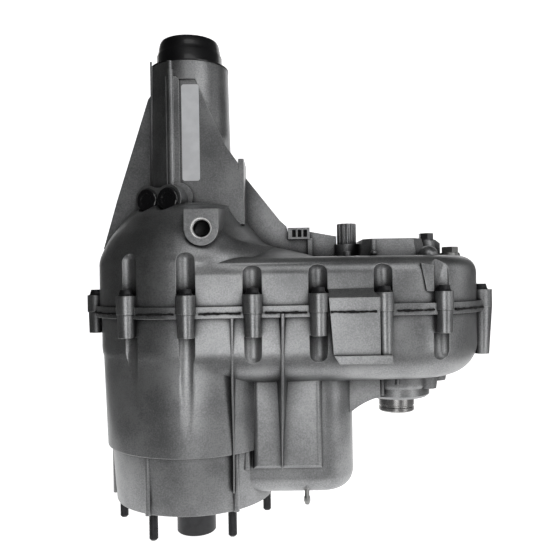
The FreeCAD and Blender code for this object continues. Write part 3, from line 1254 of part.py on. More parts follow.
def input_gear():
    """The input shaft with its sun gear and the clutch teeth inside it."""
    sun_top = GEAR_LOW + GEAR_WIDTH
    r = INPUT_SNOUT_RADIUS
    body = turned(
        [(0, -INPUT_SNOUT_LENGTH), (r - 1.2, -INPUT_SNOUT_LENGTH), (r, -INPUT_SNOUT_LENGTH + 1.2),
         (r, -INPUT_SNOUT_STEP), (INPUT_SEAL_RADIUS, -INPUT_SNOUT_STEP + 0.8),
         (INPUT_SEAL_RADIUS, INPUT_BEARING_LOW - 3), (INPUT_BEARING_INNER - 0.03, INPUT_BEARING_LOW - 3),
         (INPUT_BEARING_INNER - 0.03, INPUT_BEARING_LOW + INPUT_BEARING_WIDTH),
         (INPUT_BEARING_INNER + 5, INPUT_BEARING_LOW + INPUT_BEARING_WIDTH), (INPUT_BEARING_INNER + 5, 58),
         (INPUT_BEARING_INNER + 9, 64), (INPUT_BEARING_INNER + 9, GEAR_LOW + 1), (0, GEAR_LOW + 1)]
    )
    teeth = outer_gear(SUN_TEETH, GEAR_LOW, sun_top, 0.0)
    whole = body.fuse(teeth)
    bores = turned(
        [(0, -4.0), (PILOT_BORE_RADIUS, -4.0), (PILOT_BORE_RADIUS, 62), (24, 62), (24, 74), (CLUTCH_ROOT_RADIUS, 77),
         (CLUTCH_ROOT_RADIUS, SUN_CLUTCH_TOP), (CLUTCH_TIP_RADIUS + 1.1, SUN_CLUTCH_TOP),
         (CLUTCH_TIP_RADIUS + 1.1, sun_top + 1), (0, sun_top + 1)]
    )
    mouth = cylinder(INPUT_MOUTH_RADIUS, -INPUT_SNOUT_LENGTH - 1, -INPUT_SNOUT_LENGTH + INPUT_MOUTH_DEPTH)
    spline = splined_bar(INPUT_SPLINE_TEETH, INPUT_SPLINE_TIP, INPUT_SPLINE_ROOT, -INPUT_SNOUT_LENGTH, -4.5)
    clutch = splined_hole(
        CLUTCH_TEETH, CLUTCH_ROOT_RADIUS, CLUTCH_TIP_RADIUS, CLUTCH_CLEARANCE, 77.5, SUN_CLUTCH_TOP + 1
    )
    return cut_all(whole, [bores, mouth, spline, clutch])


def mainshaft():
    """The main shaft, from its pilot in the input gear to the rear output splines."""
    base = turned(
        [(0, 36), (PILOT_RADIUS - 1, 36), (PILOT_RADIUS, 37), (PILOT_RADIUS, 63), (SHAFT_RADIUS, 63),
         (SHAFT_RADIUS, CHAIN_LOW - 26), (MAIN_NEEDLE_OUTER + 3, CHAIN_LOW - 12), (MAIN_NEEDLE_OUTER + 3, CHAIN_LOW - 5),
         (SPROCKET_JOURNAL, CHAIN_LOW - 5), (SPROCKET_JOURNAL, MODE_HUB_LOW - 1), (HUB_SPLINE_ROOT - 0.4, MODE_HUB_LOW - 1),
         (HUB_SPLINE_ROOT - 0.4, MODE_HUB_LOW + MODE_HUB_WIDTH), (REAR_JOURNAL, MODE_HUB_LOW + MODE_HUB_WIDTH),
         (REAR_JOURNAL, OUTPUT_SPLINE_LOW - 4), (OUTPUT_SPLINE_ROOT, OUTPUT_SPLINE_LOW),
         (OUTPUT_SPLINE_ROOT, SHAFT_END_HEIGHT - 2),
         (OUTPUT_SPLINE_ROOT - 2, SHAFT_END_HEIGHT), (0, SHAFT_END_HEIGHT)]
    )
    hub = splined_bar(HUB_SPLINE_TEETH, HUB_SPLINE_ROOT, HUB_SPLINE_TIP, 84, 164)
    upper = splined_bar(HUB_SPLINE_TEETH, HUB_SPLINE_ROOT, HUB_SPLINE_TIP, MODE_HUB_LOW - 1.5, MODE_HUB_LOW + MODE_HUB_WIDTH)
    rear = splined_bar(OUTPUT_SPLINE_TEETH, OUTPUT_SPLINE_ROOT, OUTPUT_SPLINE_TIP, OUTPUT_SPLINE_LOW, SHAFT_END_HEIGHT - 3)
    return joined([base, hub, upper, rear])


def range_sleeve():
    """The sliding sleeve that locks the main shaft to the sun gear, or to the carrier."""
    low = RANGE_SLEEVE_LOW
    groove = RANGE_GROOVE_LOW
    body = turned(
        [(0, low), (RANGE_SLEEVE_BODY, low), (RANGE_SLEEVE_BODY, groove - SLEEVE_FLANGE - 3),
         (GROOVE_RADIUS, groove - SLEEVE_FLANGE), (SLEEVE_FLANGE_RADIUS, groove - SLEEVE_FLANGE),
         (SLEEVE_FLANGE_RADIUS, groove), (GROOVE_RADIUS, groove), (GROOVE_RADIUS, groove + GROOVE_WIDTH),
         (SLEEVE_FLANGE_RADIUS, groove + GROOVE_WIDTH), (SLEEVE_FLANGE_RADIUS, groove + GROOVE_WIDTH + SLEEVE_FLANGE),
         (0, groove + GROOVE_WIDTH + SLEEVE_FLANGE)]
    )
    teeth = splined_bar(CLUTCH_TEETH, CLUTCH_ROOT_RADIUS, CLUTCH_TIP_RADIUS, low, low + RANGE_TOOTH_WIDTH)
    bore = splined_hole(HUB_SPLINE_TEETH, HUB_SPLINE_ROOT, HUB_SPLINE_TIP, RUNNING_CLEARANCE, low - 1, 170)
    return body.fuse(teeth).cut(bore)


def carrier_heights():
    """The heights of the carrier's two plates."""
    gap = WASHER_THICKNESS + 2 * WASHER_GAP
    front_top = GEAR_LOW - gap
    rear_low = GEAR_LOW + GEAR_WIDTH + gap
    return front_top - CARRIER_PLATE, front_top, rear_low, rear_low + CARRIER_PLATE


def planet_places():
    """Where the planet gears stand."""
    return [polar(PLANET_CIRCLE_RADIUS, k * 360 / PLANET_COUNT) for k in range(PLANET_COUNT)]


def planet_carrier():
    """The carrier: two plates joined by posts, with clutch teeth at its back."""
    z0, z1, z2, z3 = carrier_heights()
    front = ring(GEAR_MODULE * SUN_TEETH / 2 + ADDENDUM + 1.5, CARRIER_RADIUS, z0, z1)
    back = ring(CLUTCH_TIP_RADIUS + 2, CARRIER_RADIUS, z2, z3)
    hub = ring(CLUTCH_ROOT_RADIUS - 2, GROOVE_RADIUS + 6, z3, CARRIER_CLUTCH_LOW + CARRIER_CLUTCH_WIDTH)
    hub = hub.cut(cylinder(CLUTCH_TIP_RADIUS + 2, z3 - 1, CARRIER_CLUTCH_LOW))
    posts = []
    for k in range(PLANET_COUNT):
        middle = (k + 0.5) * 360 / PLANET_COUNT
        outline = [polar(48.0, middle - 11), polar(67.0, middle - 11), polar(67.5, middle), polar(67.0, middle + 11),
                   polar(48.0, middle + 11), polar(47.5, middle)]
        posts.append(polygon_prism(outline, z1 - 1, z2 + 1))
    whole = joined([front, back, hub] + posts)
    whole = round_teeth(
        whole, CLUTCH_TEETH, CLUTCH_ROOT_RADIUS, CLUTCH_TIP_RADIUS, CLUTCH_CLEARANCE,
        CARRIER_CLUTCH_LOW - 2, CARRIER_CLUTCH_LOW + CARRIER_CLUTCH_WIDTH + 2
    )
    holes = [cylinder(PLANET_PIN_RADIUS, z0 - 1, z3 + 1, x, y) for x, y in planet_places()]
    return cut_all(whole, holes)


def planet_pins():
    """The pins that the planet gears turn on."""
    z0, _z1, _z2, z3 = carrier_heights()
    return Part.makeCompound([cylinder(PLANET_PIN_RADIUS - FIT, z0, z3, x, y) for x, y in planet_places()])


def thrust_washers():
    """Thin washers each side of every planet gear."""
    _z0, z1, z2, _z3 = carrier_heights()
    inner = PLANET_PIN_RADIUS + 0.1
    washers = []
    for x, y in planet_places():
        washers.append(ring(inner, 10.5, z1 + WASHER_GAP, z1 + WASHER_GAP + WASHER_THICKNESS, x, y))
        washers.append(ring(inner, 10.5, z2 - WASHER_GAP - WASHER_THICKNESS, z2 - WASHER_GAP, x, y))
    return Part.makeCompound(washers)


def planet_gear(k):
    """One planet gear, turned so that its teeth mesh with the sun and the ring."""
    x, y = planet_places()[k]
    place = k * 360 / PLANET_COUNT
    sun_share = 360 / SUN_TEETH
    sun_phase = (place / sun_share) % 1.0
    turn = place + 180 - (0.5 - sun_phase) * 360 / PLANET_TEETH
    gear = outer_gear(PLANET_TEETH, GEAR_LOW, GEAR_LOW + GEAR_WIDTH, turn)
    gear = gear.cut(cylinder(PLANET_PIN_RADIUS + RUNNING_CLEARANCE, GEAR_LOW - 1, GEAR_LOW + GEAR_WIDTH + 1))
    gear.translate(Vector(x, y, 0))
    return gear


def sprocket_outline():
    """The outline of a sprocket that fits between the chain's teeth."""
    share = 360 / SPROCKET_TEETH
    root = SPROCKET_PIN_RADIUS - LINK_TIP - SPROCKET_TOOTH_CLEARANCE
    tip = SPROCKET_PIN_RADIUS - LINK_CROTCH - SPROCKET_TOOTH_CLEARANCE
    gap_tip = CHAIN_PITCH / 2 - LINK_SHOULDER - SPROCKET_TOOTH_CLEARANCE
    gap_root = CHAIN_PITCH / 2 * root / SPROCKET_PIN_RADIUS - LINK_TIP_LAND - SPROCKET_TOOTH_CLEARANCE
    return toothed_outline(
        SPROCKET_TEETH, root, tip, math.degrees(gap_root / root), math.degrees(gap_tip / tip), share / 2
    )


def drive_sprocket():
    """The sprocket on the main shaft, with the mode clutch teeth above it."""
    low = CHAIN_LOW + 0.3
    high = CHAIN_LOW + CHAIN_WIDTH - 0.3
    teeth = polygon_prism(sprocket_outline(), low, high)
    hub = cylinder(34, CHAIN_LOW - 4.5, low + 1)
    neck = cylinder(MODE_TOOTH_ROOT, high - 1, MODE_CLUTCH_LOW + MODE_CLUTCH_WIDTH)
    clutch = splined_bar(
        MODE_TEETH, MODE_TOOTH_ROOT, MODE_TOOTH_TIP, MODE_CLUTCH_LOW + 1, MODE_CLUTCH_LOW + MODE_CLUTCH_WIDTH
    )
    whole = joined([teeth, hub, neck, clutch])
    groove = ring(SPROCKET_PIN_RADIUS - 8, SPROCKET_PIN_RADIUS + 2, CHAIN_LOW + CHAIN_CENTRE_PACK - 2,
                  CHAIN_LOW + CHAIN_CENTRE_PACK + 2)
    return whole.cut(cylinder(MAIN_NEEDLE_OUTER, 180, 260)).cut(groove)


def mode_hub():
    """The hub splined to the main shaft that carries the mode sleeve."""
    high = MODE_HUB_LOW + MODE_HUB_WIDTH
    blank = splined_bar(MODE_TEETH, MODE_TOOTH_ROOT, MODE_TOOTH_TIP, MODE_HUB_LOW, high)
    hole = splined_hole(HUB_SPLINE_TEETH, HUB_SPLINE_ROOT, HUB_SPLINE_TIP, FIT, MODE_HUB_LOW - 1, high + 1)
    return blank.cut(hole)


def mode_sleeve():
    """The sliding sleeve that locks the drive sprocket to the main shaft."""
    low = MODE_SLEEVE_LOW
    high = low + MODE_SLEEVE_WIDTH
    body = cylinder(MODE_SLEEVE_RADIUS, low, high)
    groove = ring(MODE_GROOVE_RADIUS, MODE_SLEEVE_RADIUS + 2, MODE_GROOVE_LOW, MODE_GROOVE_LOW + MODE_GROOVE_WIDTH)
    teeth = splined_hole(MODE_TEETH, MODE_TOOTH_ROOT, MODE_TOOTH_TIP, CLUTCH_CLEARANCE, low - 1, high + 1)
    return body.cut(groove).cut(teeth)


def fork(inner, outer, low, high, hub_low, hub_high):
    """A shift fork: an open arc in the sleeve's groove and a hub on the rail."""
    arc = ring(inner, outer, low, high)
    keep = polygon_prism([(-12, -80), (90, -80), (90, 80), (-12, 80)], low - 1, high + 1)
    arm = polygon_prism(
        [(outer - 8, -30), (RAIL_X - 6, -FORK_HUB_RADIUS + 3), (RAIL_X - 6, FORK_HUB_RADIUS - 3), (outer - 8, 30)], low, high
    ).cut(cylinder(outer - 2, low - 1, high + 1))
    rib = web_plate(
        [(outer - 1, high - 1), (RAIL_X - 4, high - 1), (RAIL_X - 4, hub_high - 3), (RAIL_X - 16, hub_high - 4)], -3, 3
    )
    hub = cylinder(FORK_HUB_RADIUS, hub_low, hub_high, RAIL_X)
    whole = joined([arc.common(keep), arm, rib, hub])
    return whole.cut(cylinder(RAIL_RADIUS + RUNNING_CLEARANCE, hub_low - 1, hub_high + 1, RAIL_X))


def range_fork():
    """The fork that moves the range sleeve, with its follower pin in the sector's slot."""
    low = RANGE_GROOVE_LOW + FORK_CLEARANCE
    high = RANGE_GROOVE_LOW + GROOVE_WIDTH - FORK_CLEARANCE
    body = fork(FORK_INNER, FORK_OUTER, low, high, RANGE_GROOVE_LOW - 12, RANGE_GROOVE_LOW + 20)
    pin_high = SECTOR_PLATE_LOW_Y + SECTOR_PLATE + 1.5
    pin = Part.makeCylinder(PIN_RADIUS, pin_high - 6, Vector(PIN_X, 6, PIN_Z), Vector(0, 1, 0))
    seat = Part.makeCylinder(PIN_RADIUS + 3, 8, Vector(PIN_X, 4, PIN_Z), Vector(0, 1, 0))
    bore = cylinder(RAIL_RADIUS + RUNNING_CLEARANCE, 100, 160, RAIL_X)
    return body.fuse([pin, seat]).cut(bore)


def mode_fork():
    """The fork that moves the mode sleeve."""
    low = MODE_GROOVE_LOW + FORK_CLEARANCE
    high = MODE_GROOVE_LOW + MODE_GROOVE_WIDTH - FORK_CLEARANCE
    return fork(MODE_GROOVE_RADIUS + 0.6, FORK_OUTER + 3, low, high, MODE_GROOVE_LOW - 10, MODE_GROOVE_LOW + 10)


def shift_rail():
    """The fixed rail that both forks slide on."""
    return turned(
        [(0, RAIL_LOW), (RAIL_RADIUS - 1, RAIL_LOW), (RAIL_RADIUS, RAIL_LOW + 1), (RAIL_RADIUS, RAIL_TOP - 1),
         (RAIL_RADIUS - 1, RAIL_TOP), (0, RAIL_TOP)], RAIL_X
    )


def rail_collar():
    """The clip on the rail that the mode spring stands on."""
    return ring(RAIL_RADIUS, FORK_HUB_RADIUS - 1, SPRING_LOW - 3, SPRING_LOW, RAIL_X)


def mode_spring():
    """The return spring between the rail's clip and the mode fork."""
    height = MODE_GROOVE_LOW - 10 - SPRING_LOW - 0.2
    wire = SPRING_WIRE / 2
    pitch = height / SPRING_TURNS
    helix = Part.makeHelix(pitch, height - 2 * wire, SPRING_COIL_RADIUS)
    start = Vector(SPRING_COIL_RADIUS, 0, 0)
    corners = [Vector(start.x + wire * math.cos(a), 0, wire * math.sin(a))
               for a in [k * math.pi / 3 for k in range(7)]]
    profile = Part.Wire(Part.makePolygon(corners))
    coil = Part.Wire(helix).makePipeShell([profile], True, True)
    coil.translate(Vector(RAIL_X, 0, SPRING_LOW + 0.1 + wire))
    return coil


def sector_radius(share):
    """The slot's distance from the sector's axis at a share of its range."""
    reach_x = PIN_X - SECTOR_X
    reach_z = PIN_Z - SECTOR_Z + share * RANGE_TRAVEL
    return math.hypot(reach_x, reach_z)


def sector_angle(share):
    """The slot's direction in the sector at rest, in degrees from +X towards +Z."""
    reach_x = PIN_X - SECTOR_X
    reach_z = PIN_Z - SECTOR_Z + share * RANGE_TRAVEL
    return math.degrees(math.atan2(reach_z, reach_x)) - share * SECTOR_RANGE


def sector_strip(half, over, steps):
    """A curved strip along the slot, wider by half each side and longer by some degrees at each end."""
    outer = []
    inner = []
    for k in range(steps + 1):
        share = k / steps
        stretch = over * (1 - 2 * share)
        angle = sector_angle(share) + stretch
        outer.append(polar(sector_radius(share) + half, angle))
        inner.append(polar(sector_radius(share) - half, angle))
    return outer + inner[::-1]


def sector_shaft():
    """The shift shaft with its slotted sector plate."""
    y0 = SECTOR_PLATE_LOW_Y
    y1 = y0 + SECTOR_PLATE
    rim = sector_strip(9.0, 6.5, 10)
    first = polar(12.0, sector_angle(0) + 60)
    last = polar(12.0, sector_angle(1) - 60)
    count = len(rim) // 2
    outline = rim[:count] + [last, (0.0, -4.0), first]
    corners = [Vector(SECTOR_X + px, y0, SECTOR_Z + pz) for px, pz in outline]
    plate = Part.Face(Part.makePolygon(corners + corners[:1])).extrude(Vector(0, y1 - y0, 0))
    slot = []
    reach = PIN_RADIUS + PIN_CLEARANCE
    for k in range(SLOT_STEPS + 1):
        share = k / SLOT_STEPS
        px, pz = polar(sector_radius(share), sector_angle(share))
        slot.append(Part.makeCylinder(reach, y1 - y0 + 2, Vector(SECTOR_X + px, y0 - 1, SECTOR_Z + pz), Vector(0, 1, 0)))
    links = []
    for k in range(SLOT_STEPS):
        a = polar(sector_radius(k / SLOT_STEPS), sector_angle(k / SLOT_STEPS))
        b = polar(sector_radius((k + 1) / SLOT_STEPS), sector_angle((k + 1) / SLOT_STEPS))
        length = math.hypot(b[0] - a[0], b[1] - a[1])
        nx, nz = -(b[1] - a[1]) / length * reach, (b[0] - a[0]) / length * reach
        quad = [(a[0] + nx, a[1] + nz), (b[0] + nx, b[1] + nz), (b[0] - nx, b[1] - nz), (a[0] - nx, a[1] - nz)]
        corners = [Vector(SECTOR_X + px, y0 - 1, SECTOR_Z + pz) for px, pz in quad]
        links.append(Part.Face(Part.makePolygon(corners + corners[:1])).extrude(Vector(0, y1 - y0 + 2, 0)))
    shaft_low = BOX_FRONT + WALL + 4.5
    shaft_high = BOX_BACK + SHIFT_BOSS + 12
    up = Vector(0, 1, 0)
    shaft = Part.makeCylinder(SECTOR_SHAFT_RADIUS, shaft_high - shaft_low, Vector(SECTOR_X, shaft_low, SECTOR_Z), up)
    hub = Part.makeCylinder(14.0, 14, Vector(SECTOR_X, y0 - 5, SECTOR_Z), up)
    flats = [
        Part.makeBox(20, 10, 6, Vector(SECTOR_X - 10, shaft_high - 9, SECTOR_Z + 5)),
        Part.makeBox(20, 10, 6, Vector(SECTOR_X - 10, shaft_high - 9, SECTOR_Z - 11)),
    ]
    whole = plate.cut(slot[0].multiFuse(slot[1:] + links))
    return joined([whole, shaft, hub]).cut(Part.makeCompound(flats))


def shift_seal():
    """The seal round the shift shaft where it leaves the case."""
    high = BOX_BACK + SHIFT_BOSS
    seal = Part.makeCylinder(SHIFT_SEAL_RADIUS - FIT, SHIFT_SEAL_WIDTH, Vector(SECTOR_X, high - SHIFT_SEAL_WIDTH, SECTOR_Z), Vector(0, 1, 0))
    hole = Part.makeCylinder(SECTOR_SHAFT_RADIUS + SEAL_RUN_CLEARANCE, 40, Vector(SECTOR_X, high - 20, SECTOR_Z), Vector(0, 1, 0))
    return seal.cut(hole)


def chain_joints():
    """The chain's pin places in order, each with the inward direction there."""
    pins = []
    share = 360 / SPROCKET_TEETH
    half = SPROCKET_TEETH // 2
    straight = (CHAIN_LINKS - SPROCKET_TEETH) // 2
    for k in range(half + 1):
        pins.append((0.0, 0.0, SPROCKET_PIN_RADIUS, 90 + k * share))
    for k in range(1, straight):
        pins.append((k * CHAIN_PITCH, 0.0, SPROCKET_PIN_RADIUS, 270))
    for k in range(half + 1):
        pins.append((CENTRE_DISTANCE, 0.0, SPROCKET_PIN_RADIUS, -90 + k * share))
    for k in range(1, straight):
        pins.append((CENTRE_DISTANCE - k * CHAIN_PITCH, 0.0, SPROCKET_PIN_RADIUS, 90))
    return pins


def chain_outline():
    """The chain's inner outline, a tooth at each pin, and its outer outline, a low back over each link."""
    inner = []
    outer = []
    pins = chain_joints()
    for k, (x, y, r, angle) in enumerate(pins):
        along = math.radians(angle)
        side = Vector(-math.sin(along), math.cos(along), 0)
        out = Vector(math.cos(along), math.sin(along), 0)
        pin = Vector(x, y, 0) + out * r
        for across, depth in (
            (-LINK_SHOULDER, LINK_CROTCH), (-LINK_TIP_LAND, LINK_TIP), (LINK_TIP_LAND, LINK_TIP), (LINK_SHOULDER, LINK_CROTCH)
        ):
            spot = pin + side * across - out * depth
            inner.append((spot.x, spot.y))
        for across in (-LINK_END, LINK_END):
            spot = pin + side * across + out * LINK_BACK
            outer.append((spot.x, spot.y))
    return inner, outer


def chain():
    """The silent chain as two packs of plates side by side on their pins."""
    inner, outer = chain_outline()
    low = CHAIN_LOW + CHAIN_SIDE_GAP
    high = CHAIN_LOW + CHAIN_WIDTH - CHAIN_SIDE_GAP
    outer_prism = polygon_prism(outer, low, high)
    inner_prism = polygon_prism(inner, low - 1, high + 1)
    band = outer_prism.cut(inner_prism)
    grown = [
        belt_prism(SPROCKET_PIN_RADIUS + 6, SPROCKET_PIN_RADIUS + 6, z - 0.8, z + 0.8).cut(
            belt_prism(SPROCKET_PIN_RADIUS + 2.4, SPROCKET_PIN_RADIUS + 2.4, z - 1, z + 1)
        )
        for z in (CHAIN_LOW + 8, CHAIN_LOW + 16, CHAIN_LOW + 24)
    ]
    return cut_all(band, grown)


def front_output_shaft():
    """The front output shaft, from its splined stub to its rear journal."""
    stub = OUTPUT_STUB_END
    r = OUTPUT_STUB_RADIUS
    body = turned(
        [(0, stub), (r - 1.5, stub), (r, stub + 1.5), (r, stub + 5), (r - 1, stub + 5.6), (r - 1, stub + 7.4),
         (r, stub + 8), (r, OUTPUT_BOSS_END - 2), (OUTPUT_JOURNAL_RADIUS, OUTPUT_BOSS_END - 1.5),
         (OUTPUT_JOURNAL_RADIUS, OUTPUT_BEARING_LOW - 2), (OUTPUT_SEAT_RADIUS - 0.03, OUTPUT_BEARING_LOW - 1),
         (OUTPUT_SEAT_RADIUS - 0.03, OUTPUT_BEARING_LOW + OUTPUT_BEARING_WIDTH),
         (OUTPUT_SEAT_RADIUS + 5, OUTPUT_BEARING_LOW + OUTPUT_BEARING_WIDTH), (OUTPUT_SEAT_RADIUS + 5, CHAIN_LOW - 1),
         (OUTPUT_SEAT_RADIUS + 2, CHAIN_LOW - 1), (OUTPUT_SEAT_RADIUS + 2, CHAIN_LOW), (OUTPUT_REAR_JOURNAL, CHAIN_LOW),
         (OUTPUT_REAR_JOURNAL, OUTPUT_SHAFT_TOP - 1), (OUTPUT_REAR_JOURNAL - 1, OUTPUT_SHAFT_TOP), (0, OUTPUT_SHAFT_TOP)],
        CENTRE_DISTANCE,
    )
    spline = splined_bar(
        OUTPUT_SPLINE_TEETH, OUTPUT_SPLINE_ROOT, OUTPUT_SPLINE_TIP, CHAIN_LOW - 1, CHAIN_LOW + CHAIN_WIDTH + 5
    )
    spline.translate(Vector(CENTRE_DISTANCE, 0, 0))
    hole = splined_bar(18, OUTPUT_BORE_RADIUS - 1.6, OUTPUT_BORE_RADIUS, stub - 1, stub + OUTPUT_BORE_DEPTH)
    hole.translate(Vector(CENTRE_DISTANCE, 0, 0))
    return body.fuse(spline).cut(hole)


def driven_sprocket():
    """The sprocket splined to the front output shaft."""
    low = CHAIN_LOW + 0.3
    high = CHAIN_LOW + CHAIN_WIDTH - 0.3
    teeth = polygon_prism(sprocket_outline(), low, high)
    hub = cylinder(30, high - 1, high + 4)
    hole = splined_hole(OUTPUT_SPLINE_TEETH, OUTPUT_SPLINE_ROOT, OUTPUT_SPLINE_TIP, FIT, low - 1, high + 6)
    groove = ring(SPROCKET_PIN_RADIUS - 8, SPROCKET_PIN_RADIUS + 2, CHAIN_LOW + CHAIN_CENTRE_PACK - 2,
                  CHAIN_LOW + CHAIN_CENTRE_PACK + 2)
    recess = ring(28, 42, low - 1, low + 8)
    whole = teeth.fuse(hub).cut(hole).cut(groove).cut(recess)
    whole.translate(Vector(CENTRE_DISTANCE, 0, 0))
    return whole


def sprocket_snap_ring():
    """The snap ring over the driven sprocket."""
    low = CHAIN_LOW + CHAIN_WIDTH + 4
    return ring(OUTPUT_SPLINE_TIP + FIT, 22, low, low + 2, CENTRE_DISTANCE)


def output_seal():
    """The front output shaft's seal."""
    low = OUTPUT_BOSS_END + 0.5
    return lip_seal(OUTPUT_JOURNAL_RADIUS, OUTPUT_SEAL_RADIUS - FIT, low, OUTPUT_BOSS_END + OUTPUT_SEAL_WIDTH, CENTRE_DISTANCE)


def rear_seal():
    """The black collar at the tail that seals on the drive shaft's yoke."""
    base = TAIL_END_HEIGHT
    r = SEAL_COLLAR_RADIUS
    bore = SEAL_BORE_RADIUS
    return turned(
        [(SEAL_SEAT_RADIUS - 4, base - SEAL_SEAT_DEPTH + 0.5), (SEAL_SEAT_RADIUS - FIT, base - SEAL_SEAT_DEPTH + 0.5),
         (SEAL_SEAT_RADIUS - FIT, base + 0.1), (TAIL_RADIUS + 0.4, base + 0.1), (TAIL_RADIUS + 0.4, base + 1.5),
         (r + 0.6, base + 2.4), (r, base + 4), (r, base + 17), (r - 1.2, base + 19),
         (SEAL_COLLAR_TOP_RADIUS + 0.6, base + SEAL_COLLAR_HEIGHT - 3), (SEAL_COLLAR_TOP_RADIUS - 1, base + SEAL_COLLAR_HEIGHT),
         (bore + 4, base + SEAL_COLLAR_HEIGHT), (bore + 4, base + SEAL_COLLAR_HEIGHT - 6),
         (bore + 0.3, base + SEAL_COLLAR_HEIGHT - 8), (bore + 0.3, base + SEAL_COLLAR_HEIGHT - 10),
         (bore + 5, base + SEAL_COLLAR_HEIGHT - 11), (bore + 5, base + 6), (bore + 0.3, base + 4), (bore + 0.3, base + 2),
         (SEAL_SEAT_RADIUS - 4, base)]
    )


def tail_bushing():
    """The plain bush that the drive shaft's yoke runs in."""
    return ring(BUSHING_BORE, BUSHING_RADIUS - FIT, BUSHING_LOW, BUSHING_LOW + BUSHING_LENGTH)


def transit_plug():
    """The pale cup that closes the tail until the drive shaft goes in."""
    top = TAIL_END_HEIGHT + SEAL_COLLAR_HEIGHT
    r = PLUG_BODY_RADIUS
    low = top - PLUG_DEPTH
    return turned(
        [(r - 2.2, low), (r - 0.8, low), (r, low + 1), (r, top + 0.2), (PLUG_FLANGE_RADIUS - 0.5, top + 0.2),
         (PLUG_FLANGE_RADIUS, top + 0.8), (PLUG_FLANGE_RADIUS, top + 2), (PLUG_FLANGE_RADIUS - 2.5, top + 3.6),
         (PLUG_FLANGE_RADIUS - 12, top + 4.8), (0, top + 5.2), (0, top + 3), (r - 2.2, top + 1.4)]
    )


def pump_housing():
    """The cup of the oil pump, fixed in the tail."""
    low = PUMP_LOW
    cup = ring(REAR_JOURNAL + 0.6, PUMP_RADIUS, low, low + 3)
    wall = ring(ROTOR_RADIUS + 0.1, PUMP_RADIUS, low + 3, low + PUMP_WIDTH - 3)
    return joined([cup, wall])


def pump_cover():
    """The cover plate of the oil pump."""
    high = PUMP_LOW + PUMP_WIDTH
    return ring(REAR_JOURNAL + 0.6, PUMP_RADIUS, high - 3 + 0.05, high)


def pump_rotor():
    """The lobed rotor of the oil pump, keyed to the main shaft."""
    outline = toothed_outline(8, ROTOR_RADIUS - 4, ROTOR_RADIUS, 14, 9)
    rotor = polygon_prism(outline, PUMP_LOW + 3.1, PUMP_LOW + PUMP_WIDTH - 3.1)
    return rotor.cut(cylinder(REAR_JOURNAL, PUMP_LOW, PUMP_LOW + PUMP_WIDTH))


def tone_wheel():
    """The toothed wheel that the speed sensors read."""
    low = TONE_LOW
    wheel = splined_bar(TONE_TEETH, TONE_RADIUS - 3, TONE_RADIUS, low, low + TONE_WIDTH)
    return wheel.cut(cylinder(REAR_JOURNAL, low - 1, low + TONE_WIDTH + 1))


def sensor_plug(offset):
    """A domed black plug in one sensor port."""
    middle, out = sensor_frame(offset)
    stem = Part.makeCylinder(SENSOR_HOLE_RADIUS - 0.05, 12, middle - out * 12, out)
    cap = Part.makeCylinder(SENSOR_CAP_RADIUS, 3.2, middle + out * 0.1, out)
    edge = [e for e in cap.Edges if (e.CenterOfMass - (middle + out * 3.3)).Length < 0.1]
    cap = cap.makeFillet(2.2, edge)
    link = Part.makeCylinder(SENSOR_HOLE_RADIUS - 2, 4, middle - out * 2, out)
    recess = Part.makeCylinder(SENSOR_CAP_RADIUS - 6, 1.2, middle + out * 2.4, out)
    return joined([stem, cap, link]).cut(recess)


def vent():
    """The barbed vent tube under the shift housing."""
    low = VENT_BOSS_LOW
    return turned(
        [(0, VENT_HEIGHT - 1), (VENT_RADIUS, VENT_HEIGHT - 1), (VENT_RADIUS, low - 8), (VENT_RADIUS + 0.9, low - 10),
         (VENT_RADIUS + 1.1, low - 14), (VENT_RADIUS - 0.2, low - 18), (0, low - 18)], VENT_X, VENT_Y
    )


def hex_plug():
    """The small hex plug on the back face."""
    head = hex_prism(2 * HEX_A_RADIUS - 2.5, HEX_A_LOW + 1.6, HEX_A_LOW + 9, HEX_A_X, HEX_A_Y)
    washer = cylinder(HEX_A_RADIUS, HEX_A_LOW, HEX_A_LOW + 1.8, HEX_A_X, HEX_A_Y)
    stem = cylinder(HEX_A_THREAD, HEX_A_LOW - 12, HEX_A_LOW + 1, HEX_A_X, HEX_A_Y)
    return joined([head, washer, stem])


def drain_plug():
    """The large flanged hex plug at the end of the back face."""
    low = HEX_B_LOW
    washer = Part.makeCone(HEX_B_RADIUS + 0.6, HEX_B_RADIUS - 1, 6, Vector(HEX_B_X, HEX_B_Y, low))
    head = hex_prism(2 * HEX_B_RADIUS - 7, low + 5, low + 13, HEX_B_X, HEX_B_Y)
    stem = cylinder(HEX_B_THREAD, low - 16, low + 1, HEX_B_X, HEX_B_Y)
    return joined([washer, head, stem])


def rail_cap():
    """The fluted cap of the mode spring's pocket on the back face."""
    top = RAIL_CAP_LOW + 25
    cap = polygon_prism(toothed_outline(12, RAIL_CAP_RADIUS - 1.3, RAIL_CAP_RADIUS, 9, 5), RAIL_CAP_LOW, top)
    stem = cylinder(RAIL_CAP_STEM, RAIL_CAP_LOW - 14, RAIL_CAP_LOW + 1)
    cap = joined([cap, stem]).cut(cylinder(6, top - 6, top + 1))
    cap.translate(Vector(CAP_X, 0, 0))
    return cap


def label():
    """The blank label on the flat face of the tail."""
    plate = box(LABEL_X, LABEL_X + LABEL_WIDTH, -0.3, 0, LABEL_LOW, LABEL_LOW + LABEL_LENGTH)
    edges = [e for e in plate.Edges if abs(e.Length - 0.3) < 0.01]
    plate = plate.makeFillet(3.0, edges)
    plate.translate(Vector(0, -TAIL_RADIUS + 2, 0))
    return plate


